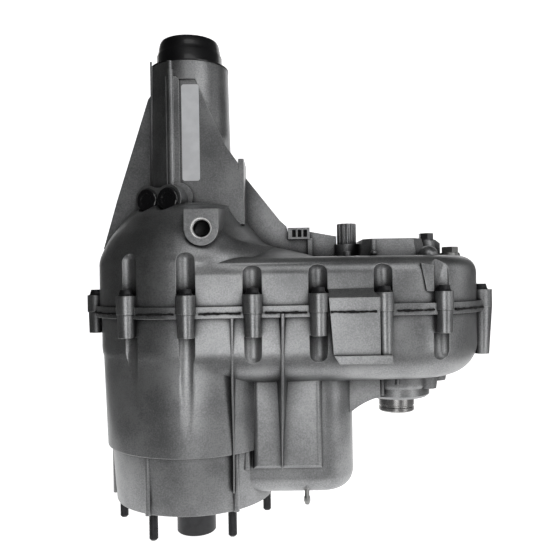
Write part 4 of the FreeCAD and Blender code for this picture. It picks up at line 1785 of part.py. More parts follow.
def pickup_tube():
    """The oil pickup tube that hangs from the roof of the chain space into the sump."""
    x, y = PICKUP_X, PICKUP_Y
    roof = SHOULDER_HEIGHT - WALL
    path = ring(3.6, 5.0, PICKUP_LOW + 8, roof - 1, x, y)
    foot = turned(
        [(0, PICKUP_LOW), (14, PICKUP_LOW), (14, PICKUP_LOW + 2.5), (5.0, PICKUP_LOW + 9), (5.0, PICKUP_LOW + 12),
         (0, PICKUP_LOW + 12)], x, y
    )
    foot = foot.cut(cylinder(3.6, PICKUP_LOW + 1, PICKUP_LOW + 13, x, y))
    flange = ring(3.6, 9.0, roof - 3, roof - 0.05, x, y)
    return joined([path, foot, flange])


def magnet():
    """The sump magnet in the floor of the chain bowl."""
    low = BOWL_HEIGHT + WALL
    return cylinder(11, low + 0.02, low + 6, MAGNET_X, MAGNET_Y)


PIECES = {
    "front_case": front_case,
    "rear_case": rear_case,
    "joint_sealant": sealant,
    "case_bolts": case_bolts,
    "dowel_pins": dowel_pins,
    "input_studs": input_studs,
    "bearing_retainer": bearing_retainer,
    "retainer_bolts": retainer_bolts,
    "input_seal": input_seal,
    "input_bearing": lambda: bearing(INPUT_BEARING_INNER, INPUT_BEARING_OUTER, INPUT_BEARING_LOW, INPUT_BEARING_WIDTH),
    "input_gear": input_gear,
    "pilot_bearing": lambda: needle_ring(PILOT_RADIUS + 0.05, PILOT_BORE_RADIUS - FIT, 42, 60),
    "ring_gear": ring_gear,
    "ring_snap_ring": ring_snap_ring,
    "planet_carrier": planet_carrier,
    "planet_pins": planet_pins,
    "thrust_washers": thrust_washers,
    "planet_gear_1": lambda: planet_gear(0),
    "planet_gear_2": lambda: planet_gear(1),
    "planet_gear_3": lambda: planet_gear(2),
    "planet_gear_4": lambda: planet_gear(3),
    "mainshaft": mainshaft,
    "range_sleeve": range_sleeve,
    "mode_hub": mode_hub,
    "mode_sleeve": mode_sleeve,
    "drive_sprocket": drive_sprocket,
    "sprocket_bearing": lambda: needle_ring(SPROCKET_JOURNAL + 0.05, MAIN_NEEDLE_OUTER - 0.05, CHAIN_LOW + 2, 236),
    "drive_chain": chain,
    "driven_sprocket": driven_sprocket,
    "sprocket_snap_ring": sprocket_snap_ring,
    "front_output_shaft": front_output_shaft,
    "output_bearing": lambda: bearing(
        OUTPUT_SEAT_RADIUS, OUTPUT_BEARING_OUTER - FIT, OUTPUT_BEARING_LOW, OUTPUT_BEARING_WIDTH, CENTRE_DISTANCE
    ),
    "output_needle_bearing": lambda: needle_ring(
        OUTPUT_REAR_JOURNAL + 0.05, OUTPUT_NEEDLE_RADIUS - FIT, OUTPUT_NEEDLE_LOW, OUTPUT_NEEDLE_LOW + OUTPUT_NEEDLE_WIDTH,
        CENTRE_DISTANCE
    ),
    "output_seal": output_seal,
    "rear_bearing": lambda: bearing(
        REAR_JOURNAL + 0.02, REAR_BEARING_OUTER - FIT, REAR_BEARING_LOW, REAR_BEARING_WIDTH
    ),
    "rear_snap_ring": lambda: ring(
        REAR_BEARING_OUTER - 4, REAR_BEARING_OUTER - FIT, REAR_BEARING_LOW + REAR_BEARING_WIDTH + 0.1,
        REAR_BEARING_LOW + REAR_BEARING_WIDTH + 2
    ),
    "pump_housing": pump_housing,
    "pump_rotor": pump_rotor,
    "pump_cover": pump_cover,
    "tone_wheel": tone_wheel,
    "tail_bushing": tail_bushing,
    "rear_seal": rear_seal,
    "transit_plug": transit_plug,
    "shift_rail": shift_rail,
    "rail_collar": rail_collar,
    "mode_spring": mode_spring,
    "range_fork": range_fork,
    "mode_fork": mode_fork,
    "sector_shaft": sector_shaft,
    "shift_seal": shift_seal,
    "pickup_tube": pickup_tube,
    "sump_magnet": magnet,
    "sensor_plug_left": lambda: sensor_plug(-SENSOR_SPACING / 2),
    "sensor_plug_right": lambda: sensor_plug(SENSOR_SPACING / 2),
    "vent_tube": vent,
    "hex_plug": hex_plug,
    "drain_plug": drain_plug,
    "rail_cap": rail_cap,
    "blank_label": label,
}

for piece_name, build_piece in PIECES.items():
    save(piece_name, build_piece())
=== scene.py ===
"""Looks of the transfer case: cast housings, black collar, bright shaft ends, dark fasteners, bare label."""

import json
import logging
import math
from dataclasses import dataclass, field
from enum import Enum
from typing import Any

import bmesh
import bpy
import numpy as np
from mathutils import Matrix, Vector


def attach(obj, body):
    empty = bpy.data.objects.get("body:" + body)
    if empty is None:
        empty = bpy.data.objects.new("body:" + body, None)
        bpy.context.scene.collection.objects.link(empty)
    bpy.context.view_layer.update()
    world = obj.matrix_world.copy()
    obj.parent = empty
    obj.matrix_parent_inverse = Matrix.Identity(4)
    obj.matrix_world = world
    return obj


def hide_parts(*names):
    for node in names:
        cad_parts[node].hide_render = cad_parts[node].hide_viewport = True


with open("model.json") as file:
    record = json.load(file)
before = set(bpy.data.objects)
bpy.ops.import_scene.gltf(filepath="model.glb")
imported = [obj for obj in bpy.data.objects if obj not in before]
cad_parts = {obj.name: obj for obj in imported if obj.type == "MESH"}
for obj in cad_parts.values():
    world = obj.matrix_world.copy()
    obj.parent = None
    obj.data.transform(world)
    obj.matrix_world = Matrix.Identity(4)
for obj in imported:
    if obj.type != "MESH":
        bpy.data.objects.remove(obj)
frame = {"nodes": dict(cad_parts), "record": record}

LOG = logging.getLogger("transfer_case")
MM = 0.001
MERGE_DISTANCE = 0.000004
EDGE_LOW = 0.01
EDGE_HIGH = 0.22


class Sig:
    """A shader socket that takes part in Python arithmetic."""

    def __init__(self, sheet: "NodeSheet", socket: Any) -> None:
        """Wraps one output socket.

        Args:
            sheet: the material's node sheet.
            socket: the output socket.
        """
        self.sheet = sheet
        self.socket = socket

    def _maths(self, operation: str, first: Any, second: Any = 0.0) -> "Sig":
        """Adds one Math node.

        Args:
            operation: the Math node's operation.
            first: the first value or signal.
            second: the second value or signal.

        Returns:
            The node's result.
        """
        return self.sheet.add("ShaderNodeMath", {"operation": operation}, {0: first, 1: second})

    def __add__(self, other: Any) -> "Sig":
        """Adds."""
        return self._maths("ADD", self, other)

    __radd__ = __add__

    def __sub__(self, other: Any) -> "Sig":
        """Subtracts."""
        return self._maths("SUBTRACT", self, other)

    def __rsub__(self, other: Any) -> "Sig":
        """Subtracts from a number."""
        return self._maths("SUBTRACT", other, self)

    def __mul__(self, other: Any) -> "Sig":
        """Multiplies."""
        return self._maths("MULTIPLY", self, other)

    def sine(self) -> "Sig":
        """The sine."""
        return self._maths("SINE", self)

    def size(self) -> "Sig":
        """The value without its sign."""
        return self._maths("ABSOLUTE", self)

    def step(self, low: float, high: float) -> "Sig":
        """A smooth rise from 0 at low to 1 at high.

        Args:
            low: where the rise starts.
            high: where it ends.

        Returns:
            A value from 0 to 1.
        """
        return self.sheet.add(
            "ShaderNodeMapRange",
            {"interpolation_type": "SMOOTHSTEP", "clamp": True},
            {"Value": self, "From Min": low, "From Max": high},
        )


class NodeSheet:
    """A material's nodes, written as expressions."""

    def __init__(self, name: str) -> None:
        """Makes an empty node material.

        Args:
            name: the material's name.
        """
        self.material = bpy.data.materials.new(name)
        self.material.use_nodes = True
        self.tree = self.material.node_tree
        self.tree.nodes.clear()
        self.output = self.tree.nodes.new("ShaderNodeOutputMaterial")

    def add(self, kind: str, settings: dict[str, Any], values: dict[Any, Any], out: Any = 0) -> Sig:
        """Adds a node, sets it, and feeds its sockets.

        Args:
            kind: the node's type.
            settings: properties set before the sockets, or "stops" for a ramp.
            values: numbers, colours or signals for the named sockets.
            out: the output's index or name.

        Returns:
            The wanted output as a signal.
        """
        node = self.tree.nodes.new(kind)
        for key, value in settings.items():
            if key == "stops":
                self.set_stops(node, value)
            else:
                setattr(node, key, value)
        for key, value in values.items():
            self.feed(node.inputs[key], value)
        return Sig(self, node.outputs[out])

    def feed(self, socket: Any, value: Any) -> None:
        """Links a signal to a socket, or sets its number.

        Args:
            socket: the input socket.
            value: a signal, number, colour or vector.
        """
        if isinstance(value, Sig):
            self.tree.links.new(value.socket, socket)
        else:
            socket.default_value = value

    @staticmethod
    def set_stops(node: Any, stops: list[tuple[float, tuple[float, float, float]]]) -> None:
        """Sets a colour ramp's stops."""
        ramp = node.color_ramp
        while len(ramp.elements) > 1:
            ramp.elements.remove(ramp.elements[-1])
        ramp.elements[0].position = stops[0][0]
        ramp.elements[0].color = (*stops[0][1], 1.0)
        for place, colour in stops[1:]:
            ramp.elements.new(place).color = (*colour, 1.0)

    def place(self) -> Sig:
        """The point on the object, in metres."""
        return self.add("ShaderNodeTexCoord", {}, {}, "Object")

    def split(self, vector: Sig) -> tuple[Sig, Sig, Sig]:
        """A vector's three parts.

        Args:
            vector: the vector signal.

        Returns:
            The X, Y and Z parts.
        """
        first = self.add("ShaderNodeSeparateXYZ", {}, {0: vector}, 0)
        node = first.socket.node
        return first, Sig(self, node.outputs[1]), Sig(self, node.outputs[2])

    def noise(self, scale: float, detail: float = 2.0, roughness: float = 0.5) -> Sig:
        """Cloudy noise on the object's own coordinates.

        Args:
            scale: waves per metre.
            detail: octaves.
            roughness: how strong the small octaves are.

        Returns:
            A value round 0.5.
        """
        values = {"Vector": self.place(), "Scale": scale, "Detail": detail, "Roughness": roughness}
        return self.add("ShaderNodeTexNoise", {}, values)

    def mix(self, share: Any, first: tuple, second: tuple) -> Sig:
        """A blend of two colours.

        Args:
            share: the share of the second colour.
            first: a colour or signal.
            second: a colour or signal.

        Returns:
            The blended colour.
        """
        node = self.tree.nodes.new("ShaderNodeMix")
        node.data_type = "RGBA"
        self.feed(node.inputs[0], share)
        for index, colour in ((6, first), (7, second)):
            self.feed(node.inputs[index], colour if isinstance(colour, Sig) else (*colour[:3], 1.0))
        return Sig(self, node.outputs[2])

    def bump(self, height: Any, distance: float, strength: float = 1.0, under: Any = None) -> Sig:
        """A bump from a height signal.

        Args:
            height: the height, where 1 stands for the whole distance.
            distance: metres.
            strength: how much of it shows.
            under: a normal to start from.

        Returns:
            The bumped normal.
        """
        values = {"Height": height, "Distance": distance, "Strength": strength}
        if under is not None:
            values["Normal"] = under
        return self.add("ShaderNodeBump", {}, values)

    def openness(self, reach: float, samples: int = 8) -> Sig:
        """How open a point stands: 1 on a plain face, less in a crease.

        Args:
            reach: how far away a wall still counts, in metres.
            samples: the number of rays.

        Returns:
            A value from 0 to 1.
        """
        return self.add("ShaderNodeAmbientOcclusion", {"samples": samples}, {"Distance": reach}, "AO")

    def rounded(self, radius: float, samples: int = 6) -> Sig:
        """A normal that is smoothed over edges, as a cast or rubbed edge looks.

        Args:
            radius: the round's radius in metres.
            samples: the number of rays.

        Returns:
            The normal.
        """
        return self.add("ShaderNodeBevel", {"samples": samples}, {"Radius": radius})

    def edges(self, rounded: Sig) -> Sig:
        """Where an edge runs: the more the smoothed normal leaves the true one, the nearer the edge.

        Args:
            rounded: the smoothed normal.

        Returns:
            A value from 0 on a plain face to 1 on an edge.
        """
        true_normal = self.add("ShaderNodeNewGeometry", {}, {}, "Normal")
        product = {"operation": "DOT_PRODUCT"}
        same = self.add("ShaderNodeVectorMath", product, {0: true_normal, 1: rounded}, "Value")
        return (1.0 - same).step(EDGE_LOW, EDGE_HIGH)

    def surface(self, **values: Any) -> Any:
        """Finishes the material with one principled shader.

        Args:
            values: socket names, with spaces as underscores.

        Returns:
            The material.
        """
        node = self.tree.nodes.new("ShaderNodeBsdfPrincipled")
        for key, value in values.items():
            name = key.replace("_", " ")
            if name in ("Base Color", "Emission Color", "Specular Tint") and not isinstance(value, Sig):
                value = (*value[:3], 1.0)
            self.feed(node.inputs[name], value)
        self.tree.links.new(node.outputs[0], self.output.inputs[0])
        return self.material


@dataclass(frozen=True)
class CastFinish:
    """Die-cast aluminium, shot-blasted: fine grain, soft blotches and a satin sheen, with painted shade in
    the creases and painted highlights along the edges.
    """

    name: str = "cast_aluminium_satin"
    light: tuple = (0.37, 0.373, 0.377)
    dark: tuple = (0.21, 0.213, 0.217)
    # painted highlight: the pale colour laid along edges, for edges that catch the light
    painted_edge_highlight: tuple = (0.62, 0.62, 0.62)
    metallic: float = 0.85
    roughness: float = 0.36
    fine_scale: float = 2600.0
    medium_scale: float = 640.0
    broad_scale: float = 26.0
    blotch_low: float = 0.36
    blotch_high: float = 0.64
    # how much of the painted edge highlight shows
    edge_highlight_share: float = 0.8
    grain: float = 0.00012
    grain_strength: float = 0.55
    edge_round: float = 0.0011
    # painted shade: the near-black colour that the creases take where walls stand close by
    painted_crease_shade: tuple = (0.03, 0.03, 0.031)
    crease_roughness: float = 0.2
    crease_reach: float = 0.03
    crease_low: float = 0.3
    crease_high: float = 0.95

    def material(self) -> Any:
        """Builds the material."""
        sheet = NodeSheet(self.name)
        fine = sheet.noise(self.fine_scale, 2.0, 0.6)
        medium = sheet.noise(self.medium_scale, 3.0, 0.6)
        broad = sheet.noise(self.broad_scale, 3.0, 0.5)
        blotch = (broad * 0.4 + medium * 0.45 + fine * 0.15).step(self.blotch_low, self.blotch_high)
        clean = sheet.mix(blotch, self.dark, self.light)
        rounded = sheet.rounded(self.edge_round)
        # crease falls from 1 on open faces towards 0 in creases, where it paints shade
        crease = sheet.openness(self.crease_reach).step(self.crease_low, self.crease_high)
        # painted highlight: open edges are lightened towards the pale colour
        highlit = sheet.mix(sheet.edges(rounded) * crease * self.edge_highlight_share, clean, self.painted_edge_highlight)
        # painted shade: the colour goes to near black in the creases
        colour = sheet.mix(crease, self.painted_crease_shade, highlit)
        cloudy = (medium - 0.5) * 0.16 + (broad - 0.5) * 0.12
        rough = self.roughness + cloudy + (1.0 - crease) * self.crease_roughness
        height = fine * 0.7 + medium * 0.3
        normal = sheet.bump(height, self.grain, self.grain_strength, rounded)
        return sheet.surface(
            Base_Color=colour, Metallic=self.metallic, Roughness=rough, Normal=normal, Specular_IOR_Level=0.5
        )


@dataclass(frozen=True)
class MetalFinish:
    """A machined, plated or blackened metal."""

    name: str
    colour: tuple
    roughness: float
    metallic: float = 1.0
    variation: float = 0.15
    cloud_scale: float = 120.0
    roughness_spread: float = 0.12
    grain: float = 0.00003
    grain_scale: float = 1800.0
    edge_round: float = 0.0004

    def material(self) -> Any:
        """Builds the material."""
        sheet = NodeSheet(self.name)
        cloud = sheet.noise(self.cloud_scale, 3.0)
        low = tuple(c * (1 - self.variation) for c in self.colour)
        high = tuple(min(1.0, c * (1 + self.variation)) for c in self.colour)
        colour = sheet.mix(cloud.step(0.35, 0.65), low, high)
        rough = self.roughness + (cloud - 0.5) * self.roughness_spread
        fine = sheet.noise(self.grain_scale, 2.0)
        normal = sheet.bump(fine, self.grain, 0.4, sheet.rounded(self.edge_round, 4))
        return sheet.surface(Base_Color=colour, Metallic=self.metallic, Roughness=rough, Normal=normal)


@dataclass(frozen=True)
class TurnedFinish:
    """Bright turned steel with fine rings round its own axis."""

    name: str
    colour: tuple = (0.36, 0.355, 0.35)
    roughness: float = 0.27
    darker: float = 0.82
    ring_pitch: float = 0.0006
    ring_depth: float = 0.00001
    wobble_scale: float = 90.0
    cloud_scale: float = 60.0
    roughness_spread: float = 0.15
    edge_round: float = 0.0004

    def material(self) -> Any:
        """Builds the material."""
        sheet = NodeSheet(self.name)
        _x, _y, z = sheet.split(sheet.place())
        wobble = sheet.noise(self.wobble_scale, 2.0) * 0.6
        rings = (z * (2 * math.pi / self.ring_pitch) + wobble).sine()
        cloud = sheet.noise(self.cloud_scale, 3.0)
        colour = sheet.mix(cloud.step(0.3, 0.7), tuple(c * self.darker for c in self.colour), self.colour)
        normal = sheet.bump(rings * 0.5 + 0.5, self.ring_depth, 0.5, sheet.rounded(self.edge_round, 4))
        rough = self.roughness + (cloud - 0.5) * self.roughness_spread
        return sheet.surface(Base_Color=colour, Metallic=1.0, Roughness=rough, Normal=normal)


@dataclass(frozen=True)
class SoftFinish:
    """Rubber or plastic."""

    name: str
    colour: tuple
    roughness: float
    coat: float = 0.0
    grain: float = 0.00002
    grain_scale: float = 1500.0
    edge_round: float = 0.0006
    darker: float = 0.9
    cloud_scale: float = 80.0
    roughness_spread: float = 0.08
    coat_roughness: float = 0.08

    def material(self) -> Any:
        """Builds the material."""
        sheet = NodeSheet(self.name)
        cloud = sheet.noise(self.cloud_scale, 3.0)
        colour = sheet.mix(cloud.step(0.3, 0.7), tuple(c * self.darker for c in self.colour), self.colour)
        fine = sheet.noise(self.grain_scale, 2.0)
        normal = sheet.bump(fine, self.grain, 0.3, sheet.rounded(self.edge_round, 4))
        return sheet.surface(
            Base_Color=colour,
            Roughness=self.roughness + (cloud - 0.5) * self.roughness_spread,
            Coat_Weight=self.coat,
            Coat_Roughness=self.coat_roughness,
            Normal=normal,
        )


class Skin:
    """A surface drawn from rings of points, one behind the other."""

    def __init__(self, name: str, rings: np.ndarray) -> None:
        """Builds the mesh, with each ring's last point joined to its first.

        Args:
            name: the piece's name.
            rings: rings by points by three, in metres.
        """
        rows, columns = rings.shape[:2]
        index = np.arange(rows * columns).reshape(rows, columns)
        index = np.concatenate([index, index[:, :1]], axis=1)
        corners = [index[:-1, :-1], index[:-1, 1:], index[1:, 1:], index[1:, :-1]]
        faces = np.stack(corners, axis=-1).reshape(-1, 4)
        self.mesh = bpy.data.meshes.new(name)
        self.mesh.from_pydata(rings.reshape(-1, 3).tolist(), [], faces.tolist())
        self.mesh.shade_smooth()
        self.name = name

    @staticmethod
    def merged(name: str, skins: list["Skin"]) -> "Skin":
        """One skin from several.

        Args:
            name: the new piece's name.
            skins: the skins to join.

        Returns:
            The joined skin.
        """
        work = bmesh.new()
        for skin in skins:
            work.from_mesh(skin.mesh)
            bpy.data.meshes.remove(skin.mesh)
        whole = Skin.__new__(Skin)
        whole.mesh = bpy.data.meshes.new(name)
        whole.name = name
        work.to_mesh(whole.mesh)
        work.free()
        whole.mesh.shade_smooth()
        return whole


class Smoothing(Enum):
    """How a piece's facets are drawn."""

    TURNED = 34.0
    CAST = 38.0
    FLAT = 12.0


class Dresser:
    """Gives CAD nodes their finish and draws their curved faces smooth."""

    def __init__(self) -> None:
        """Starts with no material made."""
        self._made: dict[str, Any] = {}

    def material(self, finish: Any) -> Any:
        """The finish's material, made once.

        Args:
            finish: the finish.

        Returns:
            The material.
        """
        if finish.name not in self._made:
            self._made[finish.name] = finish.material()
        return self._made[finish.name]

    def _body(self, node: str) -> str:
        """The CAD body that holds a node."""
        for body, nodes in frame["record"]["behaviour"]["bodies"].items():
            if node in nodes:
                return body
        raise KeyError(node)

    def dress(self, node: str, finish: Any, smoothing: Smoothing) -> Any:
        """Draws one node with merged corners, smooth curved faces and its finish.

        Args:
            node: the CAD node.
            finish: its finish.
            smoothing: the angle past which an edge stays sharp.

        Returns:
            The new piece.
        """
        source = frame["nodes"][node]
        mesh = source.data.copy()
        mesh.name = node + "_surface"
        work = bmesh.new()
        work.from_mesh(mesh)
        bmesh.ops.remove_doubles(work, verts=work.verts, dist=MERGE_DISTANCE)
        work.to_mesh(mesh)
        work.free()
        if mesh.has_custom_normals:
            mesh.attributes.remove(mesh.attributes["custom_normal"])
        mesh.shade_smooth()
        mesh.set_sharp_from_angle(angle=math.radians(smoothing.value))
        mesh.materials.clear()
        mesh.materials.append(self.material(finish))
        piece = bpy.data.objects.new(node + "_finished", mesh)
        bpy.context.scene.collection.objects.link(piece)
        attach(piece, self._body(node))
        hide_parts(node)
        LOG.info("%s: %d faces, %s", node, len(mesh.polygons), finish.name)
        return piece

    def show(self, skin: Skin, finish: Any, node: str, stands_for: bool, sharp: float = 60.0) -> Any:
        """Shows a drawn surface on a CAD node's body.

        Args:
            skin: the surface.
            finish: its finish.
            node: the CAD node that it belongs to.
            stands_for: the surface is shown in the node's place.
            sharp: the angle past which an edge stays sharp.

        Returns:
            The new piece.
        """
        skin.mesh.set_sharp_from_angle(angle=math.radians(sharp))
        skin.mesh.materials.append(self.material(finish))
        piece = bpy.data.objects.new(skin.name, skin.mesh)
        bpy.context.scene.collection.objects.link(piece)
        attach(piece, self._body(node))
        if stands_for:
            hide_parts(node)
        LOG.info("%s: %d faces, %s", skin.name, len(skin.mesh.polygons), finish.name)
        return piece


@dataclass
class Housing:
    """The two castings, with their bare label, plugs and vent."""

    casting: CastFinish = field(default_factory=CastFinish)
    gloss: SoftFinish = SoftFinish("gloss_black_plug", (0.008, 0.008, 0.009), 0.16, 0.6)
    sealant: SoftFinish = SoftFinish("black_sealant", (0.01, 0.01, 0.01), 0.55)
    paper: SoftFinish = SoftFinish("bare_label", (0.82, 0.83, 0.85), 0.5, 0.1, 0.00001)
    plated: MetalFinish = MetalFinish("zinc_plate", (0.26, 0.26, 0.255), 0.35)
    dark: MetalFinish = MetalFinish("dark_plate", (0.14, 0.14, 0.145), 0.38)

    def build(self, dresser: Dresser) -> None:
        """Dresses the castings and what is fixed to their outside."""
        for node in ("front_case", "rear_case", "rail_cap"):
            dresser.dress(node, self.casting, Smoothing.CAST)
        dresser.dress("sensor_plug_left", self.gloss, Smoothing.TURNED)
        dresser.dress("sensor_plug_right", self.gloss, Smoothing.TURNED)
        dresser.dress("blank_label", self.paper, Smoothing.FLAT)
        dresser.dress("vent_tube", self.plated, Smoothing.TURNED)
        dresser.dress("hex_plug", self.dark, Smoothing.TURNED)
        dresser.dress("drain_plug", self.plated, Smoothing.TURNED)


@dataclass
class Ends:
    """What shows at the three shaft ends."""

    collar: SoftFinish = SoftFinish("black_collar", (0.006, 0.006, 0.007), 0.34, 0.35)
    pale: SoftFinish = SoftFinish("pale_cap", (0.72, 0.72, 0.70), 0.42, 0.1)
    phosphate: MetalFinish = MetalFinish("black_phosphate", (0.025, 0.025, 0.027), 0.42, 0.4)
    bright: TurnedFinish = TurnedFinish("bright_turned_steel")
    seal: SoftFinish = SoftFinish("shaft_seal", (0.02, 0.02, 0.02), 0.6)

    def build(self, dresser: Dresser) -> None:
        """Dresses the collar, the cap, the snout, the case bolts, the front output and the shaft seals."""
        dresser.dress("rear_seal", self.collar, Smoothing.TURNED)
        dresser.dress("transit_plug", self.pale, Smoothing.TURNED)
        dresser.dress("input_gear", self.phosphate, Smoothing.TURNED)
        dresser.dress("case_bolts", self.phosphate, Smoothing.TURNED)
        dresser.dress("front_output_shaft", self.bright, Smoothing.TURNED)
        for node in ("input_seal", "output_seal", "shift_seal"):
            dresser.dress(node, self.seal, Smoothing.TURNED)


@dataclass
class Trim:
    """Fine forms on the outside, in millimetres: the sealant, the fill port's seat and thread, the studs."""

    joint_height: float = 220.0
    main_radius: float = 114.5
    output_radius: float = 102.5
    shaft_distance: float = 247.65
    bead: float = 1.4
    bead_out: float = 1.0
    bead_corners: int = 8
    reach_least: float = 0.5
    rise_least: float = 0.35
    rise_swell: float = 0.75
    swell_waves: tuple = ((0.22, 0.21, 0.0), (0.16, 0.53, 1.3), (0.14, 1.37, 0.4))
    sag_waves: tuple = ((0.5, 0.11, 0.7), (0.3, 0.43, 0.0), (0.5, 0.94, 2.1))
    sag: float = 0.35
    boss_gap: float = 12.6
    bolt_spread: float = 18.0
    pad_left: float = 157.5
    pad_right: float = 209.0
    pad_front: float = -112.0
    pad_proud: float = 0.2
    fill_x: float = 24.0
    fill_face: float = -107.0
    fill_height: float = 311.0
    fill_bore: float = 9.6
    fill_seat: float = 11.3
    seat_depth: float = 3.0
    seat_bevel: float = 0.9
    seat_bevel_depth: float = 0.85
    seat_lift: float = 0.05
    rim_out: float = 0.35
    rim_in: float = 0.45
    rim_depth: float = 0.8
    thread_start: float = 0.4
    thread_pitch: float = 1.5
    thread_depth: float = 0.75
    thread_length: float = 20.0
    fill_around: int = 56
    skin_gap: float = 0.02
    stud_circle: float = 87.0
    stud_turn: float = 5.0
    stud_count: int = 6
    stud_radius: float = 5.0
    stud_root: float = 4.6
    stud_proud: float = 30.0
    stud_depth: float = 26.0
    stud_pitch: float = 1.5
    stud_thread: float = 0.55
    tip_bevel: float = 1.5
    tip_shoulder: float = 0.4
    thread_end: float = 1.6
    stud_around: int = 28
    middle: float = 0.02
    pitch_steps: int = 6
    flank: float = 1.25
    flank_low: float = 0.12
    sealant: SoftFinish = SoftFinish("squeezed_sealant", (0.002, 0.002, 0.002), 0.8, 0.0, 0.00008, 900.0)
    bright: MetalFinish = MetalFinish("machined_seat", (0.85, 0.85, 0.84), 0.42)
    tapped: MetalFinish = MetalFinish("tapped_wall", (0.2, 0.2, 0.2), 0.3)
    phosphate: MetalFinish = MetalFinish("stud_phosphate", (0.03, 0.03, 0.032), 0.4, 0.4)

    @staticmethod
    def ring_angles(count: int) -> np.ndarray:
        """Even steps round a full turn, without the last, which is the first again.

        Args:
            count: the number of steps.

        Returns:
            The angles in radians.
        """
        return np.linspace(0, 2 * math.pi, count + 1)[:-1]

    @staticmethod
    def wander(run: np.ndarray, waves: tuple) -> np.ndarray:
        """A sum of sines along the joint.

        Args:
            run: millimetres along the joint.
            waves: each wave's height, its radians for each millimetre, and its start.

        Returns:
            The sum at each place.
        """
        return sum(height * np.sin(run * rate + start) for height, rate, start in waves)

    def joint_path(self) -> tuple[np.ndarray, np.ndarray]:
        """The joint's outline, a point each millimetre: two arcs and their shared outer tangents.

        Returns:
            The points and their outward directions.
        """
        lean = math.asin((self.main_radius - self.output_radius) / self.shaft_distance)
        start = math.pi / 2 - lean
        main = np.linspace(start, 2 * math.pi - start, int(self.main_radius * 2 * (math.pi - start)))
        end = np.linspace(-start, start, int(self.output_radius * 2 * start))
        first = np.stack([np.cos(main), np.sin(main)], axis=1)
        last = np.stack([np.cos(end), np.sin(end)], axis=1)
        centre = np.array([self.shaft_distance, 0.0])
        arc_main, arc_end = first * self.main_radius, last * self.output_radius + centre
        share = np.linspace(0, 1, int(self.shaft_distance))[1:-1, None]
        lower = arc_main[-1] + share * (arc_end[0] - arc_main[-1])
        upper = arc_end[-1] + share * (arc_main[0] - arc_end[-1])
        points = np.concatenate([arc_main, lower, arc_end, upper])
        outward = np.concatenate(
            [first, np.repeat(first[-1:], len(lower), axis=0), last, np.repeat(last[-1:], len(upper), axis=0)]
        )
        return points, outward

    def bolt_places(self) -> np.ndarray:
        """Where the case bolts stand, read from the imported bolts."""
        source = frame["nodes"]["case_bolts"]
        corners = np.empty(len(source.data.vertices) * 3)
        source.data.vertices.foreach_get("co", corners)
        corners = corners.reshape(-1, 3) / MM
        heads = corners[corners[:, 2] > corners[:, 2].max() - 0.01, :2]
        places: list[np.ndarray] = []
        for corner in heads:
            if all(np.hypot(*(corner - place)) > self.bolt_spread for place in places):
                places.append(heads[np.hypot(*(heads - corner).T) < self.bolt_spread].mean(axis=0))
        return np.array(places)

    def sealant_bead(self) -> Skin:
        """The squeezed sealant: a bead whose height and reach wander, broken at each bolt boss."""
        points, outward = self.joint_path()
        run = np.arange(len(points))
        swell = np.clip(0.5 + self.wander(run, self.swell_waves), 0, 1)[:, None]
        sag = self.wander(run, self.sag_waves)[:, None]
        on_pad = (points[:, 0] > self.pad_left) & (points[:, 0] < self.pad_right) & (points[:, 1] < 0)
        points[on_pad, 1] = self.pad_front + self.pad_proud
        outward = np.where(on_pad[:, None], np.array([0.0, -1.0]), outward)
        to_bolts = points[:, None, :] - self.bolt_places()[None, :, :]
        keep = np.hypot(to_bolts[..., 0], to_bolts[..., 1]).min(axis=1) > self.boss_gap
        turn = self.ring_angles(self.bead_corners)[None, :]
        reach = self.bead * (self.reach_least + swell) * np.cos(turn)
        rise = self.bead * (self.rise_least + self.rise_swell * swell) * np.sin(turn) + self.sag * sag
        flat = points[:, None, :] + outward[:, None, :] * (self.bead_out + reach[:, :, None])
        rows = np.concatenate([flat, (rise + self.joint_height)[:, :, None]], axis=2) * MM
        skins = []
        breaks = np.flatnonzero(np.diff(keep.astype(int)) != 0) + 1
        jumps = np.flatnonzero(np.hypot(*np.diff(points, axis=0).T) > 3.0) + 1
        for part in np.split(np.arange(len(points)), np.unique(np.concatenate([breaks, jumps]))):
            if keep[part[0]] and len(part) > 3:
                skins.append(Skin("bead_part", self.closed(rows[part])))
        return Skin.merged("sealant_bead", skins)

    @staticmethod
    def closed(rows: np.ndarray) -> np.ndarray:
        """Rows with both ends drawn in to a point.

        Args:
            rows: rings of points.

        Returns:
            The rings with one more ring at each end, shrunk to its centre.
        """
        first = np.repeat(rows[:1].mean(axis=1, keepdims=True), rows.shape[1], axis=1)
        last = np.repeat(rows[-1:].mean(axis=1, keepdims=True), rows.shape[1], axis=1)
        return np.concatenate([first, rows, last])

    def fill_seat_ring(self) -> Skin:
        """The bright machined seat at the bottom of the fill port's recess, with a bevel into the thread."""
        turn = self.ring_angles(72)
        mouth = self.fill_face
        floor = mouth + self.seat_depth - self.seat_lift
        wall = self.fill_seat - self.skin_gap
        steps = (
            (self.fill_seat + self.seat_bevel, mouth - self.skin_gap),
            (wall, mouth + self.seat_bevel_depth),
            (wall, floor),
            (self.fill_bore + self.rim_out, floor),
            (self.fill_bore - self.rim_in, floor + self.rim_depth),
        )
        rows = []
        for radius, y in steps:
            x = self.fill_x + radius * np.cos(turn)
            z = self.fill_height + radius * np.sin(turn)
            rows.append(np.stack([x, np.full_like(turn, y), z], axis=1))
        return Skin("fill_seat", np.array(rows) * MM)

